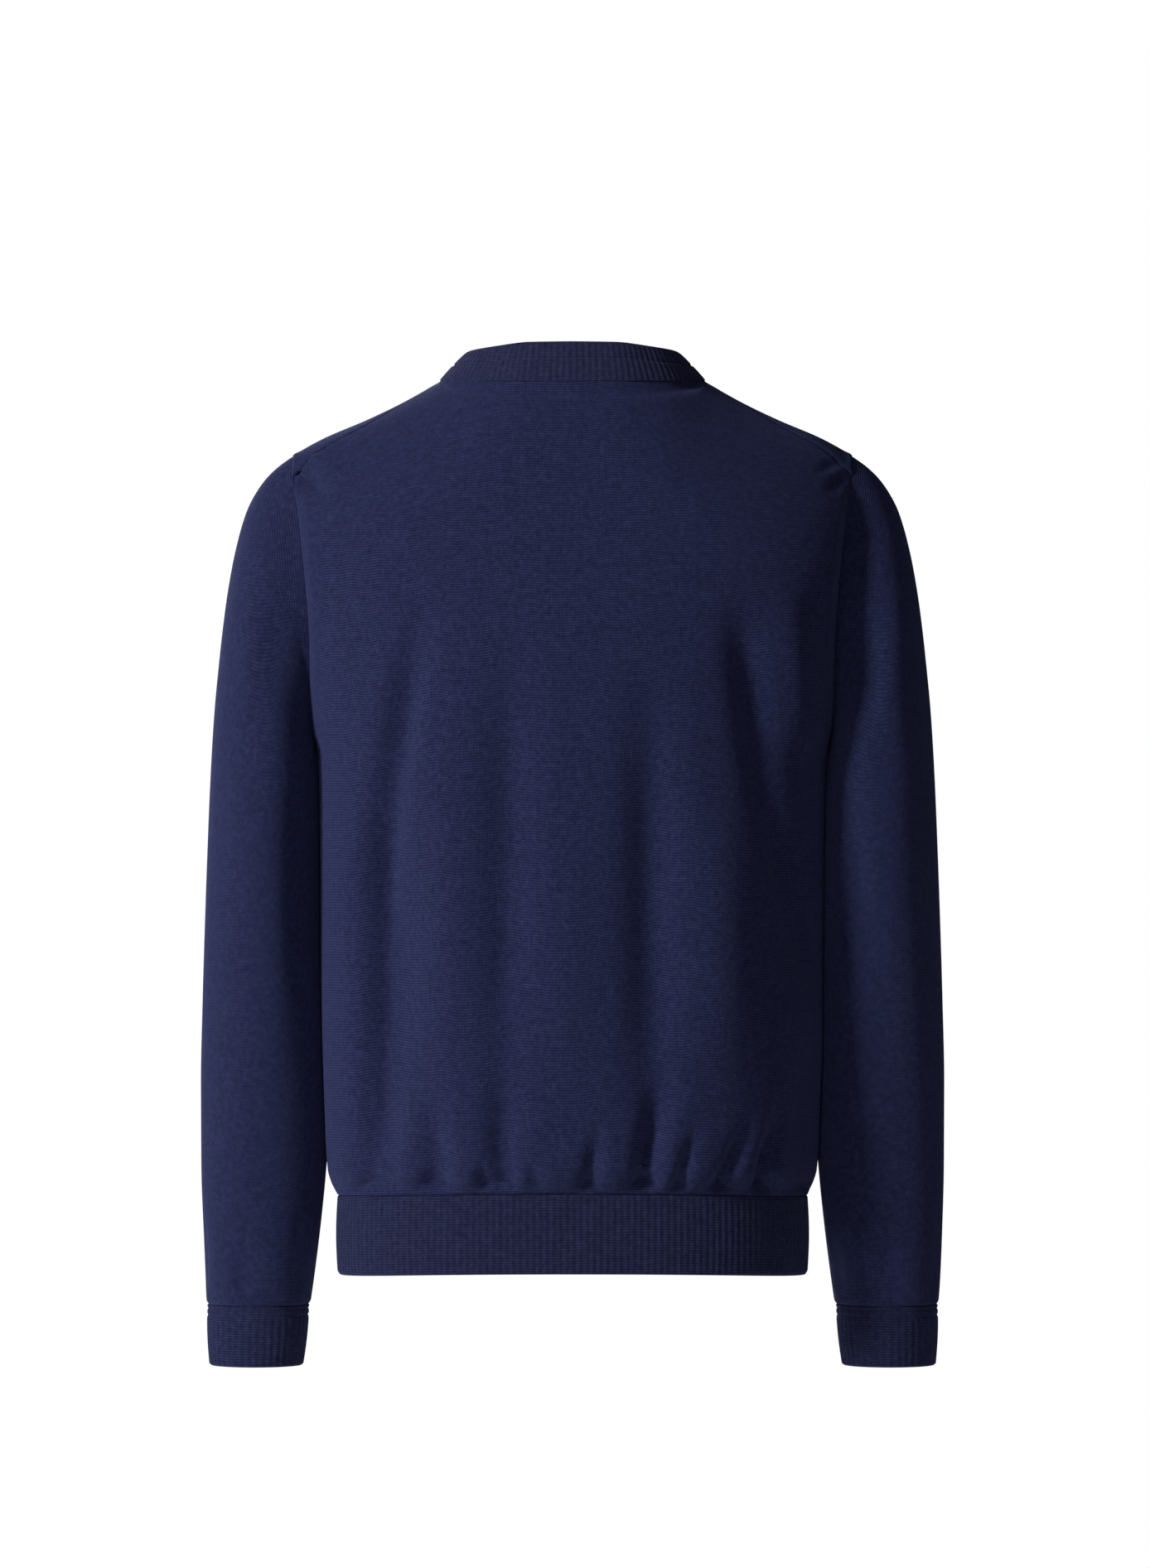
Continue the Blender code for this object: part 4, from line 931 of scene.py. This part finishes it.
hem = cloth_wall("ribbed_hem", *hem_form(), closed=True)
hem.data.materials.append(rib_finish("navy_rib_hem", (0.88, 0.85, 0.79)))
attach(hem, "root")
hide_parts("hem_rib")


# ---- The cuffs ----
# Each cuff is a tube of ribbing linked to the end of its sleeve, a little narrower at its open
# end. Its linking shows as two fine lines round the top.

CuffRing = namedtuple("CuffRing", "outer_x inner_x depth y z")
CUFF_TOP = CuffRing(0.2720, 0.1962, 0.063, -0.020, CUFF_SEAM_Z)
CUFF_END = CuffRing(0.2705, 0.2009, 0.057, -0.022, -0.732)
CUFF_RIBS = 42
CUFF_LINES = (0.0035, 0.0085)   # from the seam to the two fine lines
CUFF_LINE = 0.0008      # their depth and half-width
CUFF_PLUMP = 0.0008
CUFF_RIBS_REACH = 0.004     # the ribs lie shallower from the seam to the lines and, fading,
CUFF_RIBS_FLAT = 0.7        # this far below: they lose this share of their relief
CUFF_ROWS = 40

for side, sign in (("left", 1), ("right", -1)):
    down = np.linspace(0, 1, CUFF_ROWS)[:, None]

    def tapered(measure):
        """A measure of the cuff's rings, row by row from its seam to its open end."""
        return measure(CUFF_TOP) + (measure(CUFF_END) - measure(CUFF_TOP)) * down

    half = tapered(lambda ring: (ring.outer_x - ring.inner_x) / 2)
    middle = tapered(lambda ring: (ring.outer_x + ring.inner_x) / 2)
    deep = tapered(lambda ring: ring.depth / 2)
    y, z = tapered(lambda ring: ring.y), tapered(lambda ring: ring.z)
    long = CUFF_TOP.z - CUFF_END.z
    turn = np.arange(CUFF_RIBS * RIB_STEPS) / (CUFF_RIBS * RIB_STEPS)
    cos, sin = np.cos(2 * math.pi * turn), np.sin(2 * math.pi * turn)
    fade = 1 - CUFF_RIBS_FLAT * ease(1 - (down * long - CUFF_LINES[1]) / CUFF_RIBS_REACH)
    relief = RIB_RELIEF / 2 * rib_relief(turn * CUFF_RIBS)[None] * fade
    stand, inset = band_skins(relief + CUFF_PLUMP * np.sin(math.pi * down),
                              rounded_ends(down, long, FOLD_ROUND))
    lines = sum(np.exp(-((down * long - at) / CUFF_LINE) ** 2) for at in CUFF_LINES)
    outer, inner = (np.dstack([middle + (half + off) * cos, y + (deep + off) * sin, z + 0 * off])
                    for off in (stand - CUFF_LINE * lines, inset + 0 * stand))
    flip = np.array([float(sign), 1.0, 1.0])
    piece = cloth_wall(f"ribbed_cuff_{side}", outer * flip, inner * flip, *tube_cloth(outer),
                       closed=True)
    piece.data.materials.append(rib_finish(f"navy_rib_cuff_{side}", (0.93, 0.90, 0.86)))
    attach(piece, "root")
    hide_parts(f"cuff_{side}")


# ---- The cut ----
# Every piece is a sheet of knit, flat before it was linked and filled out. Only a cut's fields
# are set out here, and no piece's sizes are given; each would be that of the cloth that shows,
# all round on a tube.

Cut = namedtuple("Cut", "piece width length area rests_on held", defaults=("hung",))


# ---- The studio ----
# The sweater floats before plain white, as a cut-out does, and a pale floor lies well below the
# picture's edge. A large soft lamp stands high to the camera's left, a weak one by the camera,
# and one lights the front, which the camera doesn't see. The white sky hardly lights the cloth.

FLOOR_Z = -1.25
FLOOR_REACH = 2.4
floor_mesh = bpy.data.meshes.new("studio_floor")
floor_mesh.from_pydata([(x * FLOOR_REACH, y * FLOOR_REACH, FLOOR_Z)
                        for x, y in ((-1, -1), (1, -1), (1, 1), (-1, 1))], [], [(0, 1, 2, 3)])
studio_floor = placed("studio_floor", floor_mesh)
floor_paint = bpy.data.materials.new("pale_floor")
floor_paint.use_nodes = True
floor_shader = floor_paint.node_tree.nodes["Principled BSDF"]
floor_shader.inputs["Base Color"].default_value = (0.8, 0.8, 0.8, 1)
floor_shader.inputs["Roughness"].default_value = 0.9
floor_mesh.materials.append(floor_paint)

CAMERA_AWAY = 5.0
FRAME_HEIGHT = 1.164    # what the picture's height takes in at the sweater's middle
AIM_X, AIM_Z = -0.0018, -0.2992
SENSOR = 36.0
camera_data = bpy.data.cameras.new("camera")
camera_data.sensor_fit = "VERTICAL"
camera_data.sensor_height = SENSOR
camera_data.lens = SENSOR * CAMERA_AWAY / FRAME_HEIGHT
camera = placed("camera", camera_data)
camera.location = (AIM_X, CAMERA_AWAY, AIM_Z)
camera.rotation_euler = (math.pi / 2, 0, math.pi)
bpy.context.scene.camera = camera

LAMP_AIM = np.array([0.0, 0.0, -0.30])  # the sweater's middle
Lamp = namedtuple("Lamp", "name place size power")
for lamp in (Lamp("key", (3.2, 2.4, 1.1), 0.8, 148), Lamp("fill", (0.3, 4.3, 0.9), 1.2, 20),
             Lamp("front_fill", (1.2, -3.4, 1.2), 1.6, 60)):
    light = bpy.data.lights.new(lamp.name, "AREA")
    light.energy, light.size = lamp.power, lamp.size
    holder = placed(lamp.name, light)
    holder.location = lamp.place
    away = np.array(lamp.place) - LAMP_AIM
    flat_away = math.hypot(away[0], away[1])
    holder.rotation_euler = (math.atan2(flat_away, away[2]), 0, math.atan2(away[0], -away[1]))

SKY_LIGHT = 0.02        # strength of the sky as a light
world = bpy.data.worlds.new("studio")
bpy.context.scene.world = world
world.use_nodes = True
sky = Value(world.node_tree, None)
seen = sky.node("ShaderNodeLightPath")
glow = world.node_tree.nodes["Background"]
glow.inputs["Color"].default_value = (1, 1, 1, 1)
strength = seen * (1 - SKY_LIGHT) + SKY_LIGHT
world.node_tree.links.new(strength.socket, glow.inputs["Strength"])
bpy.context.scene.view_settings.view_transform = "Standard"
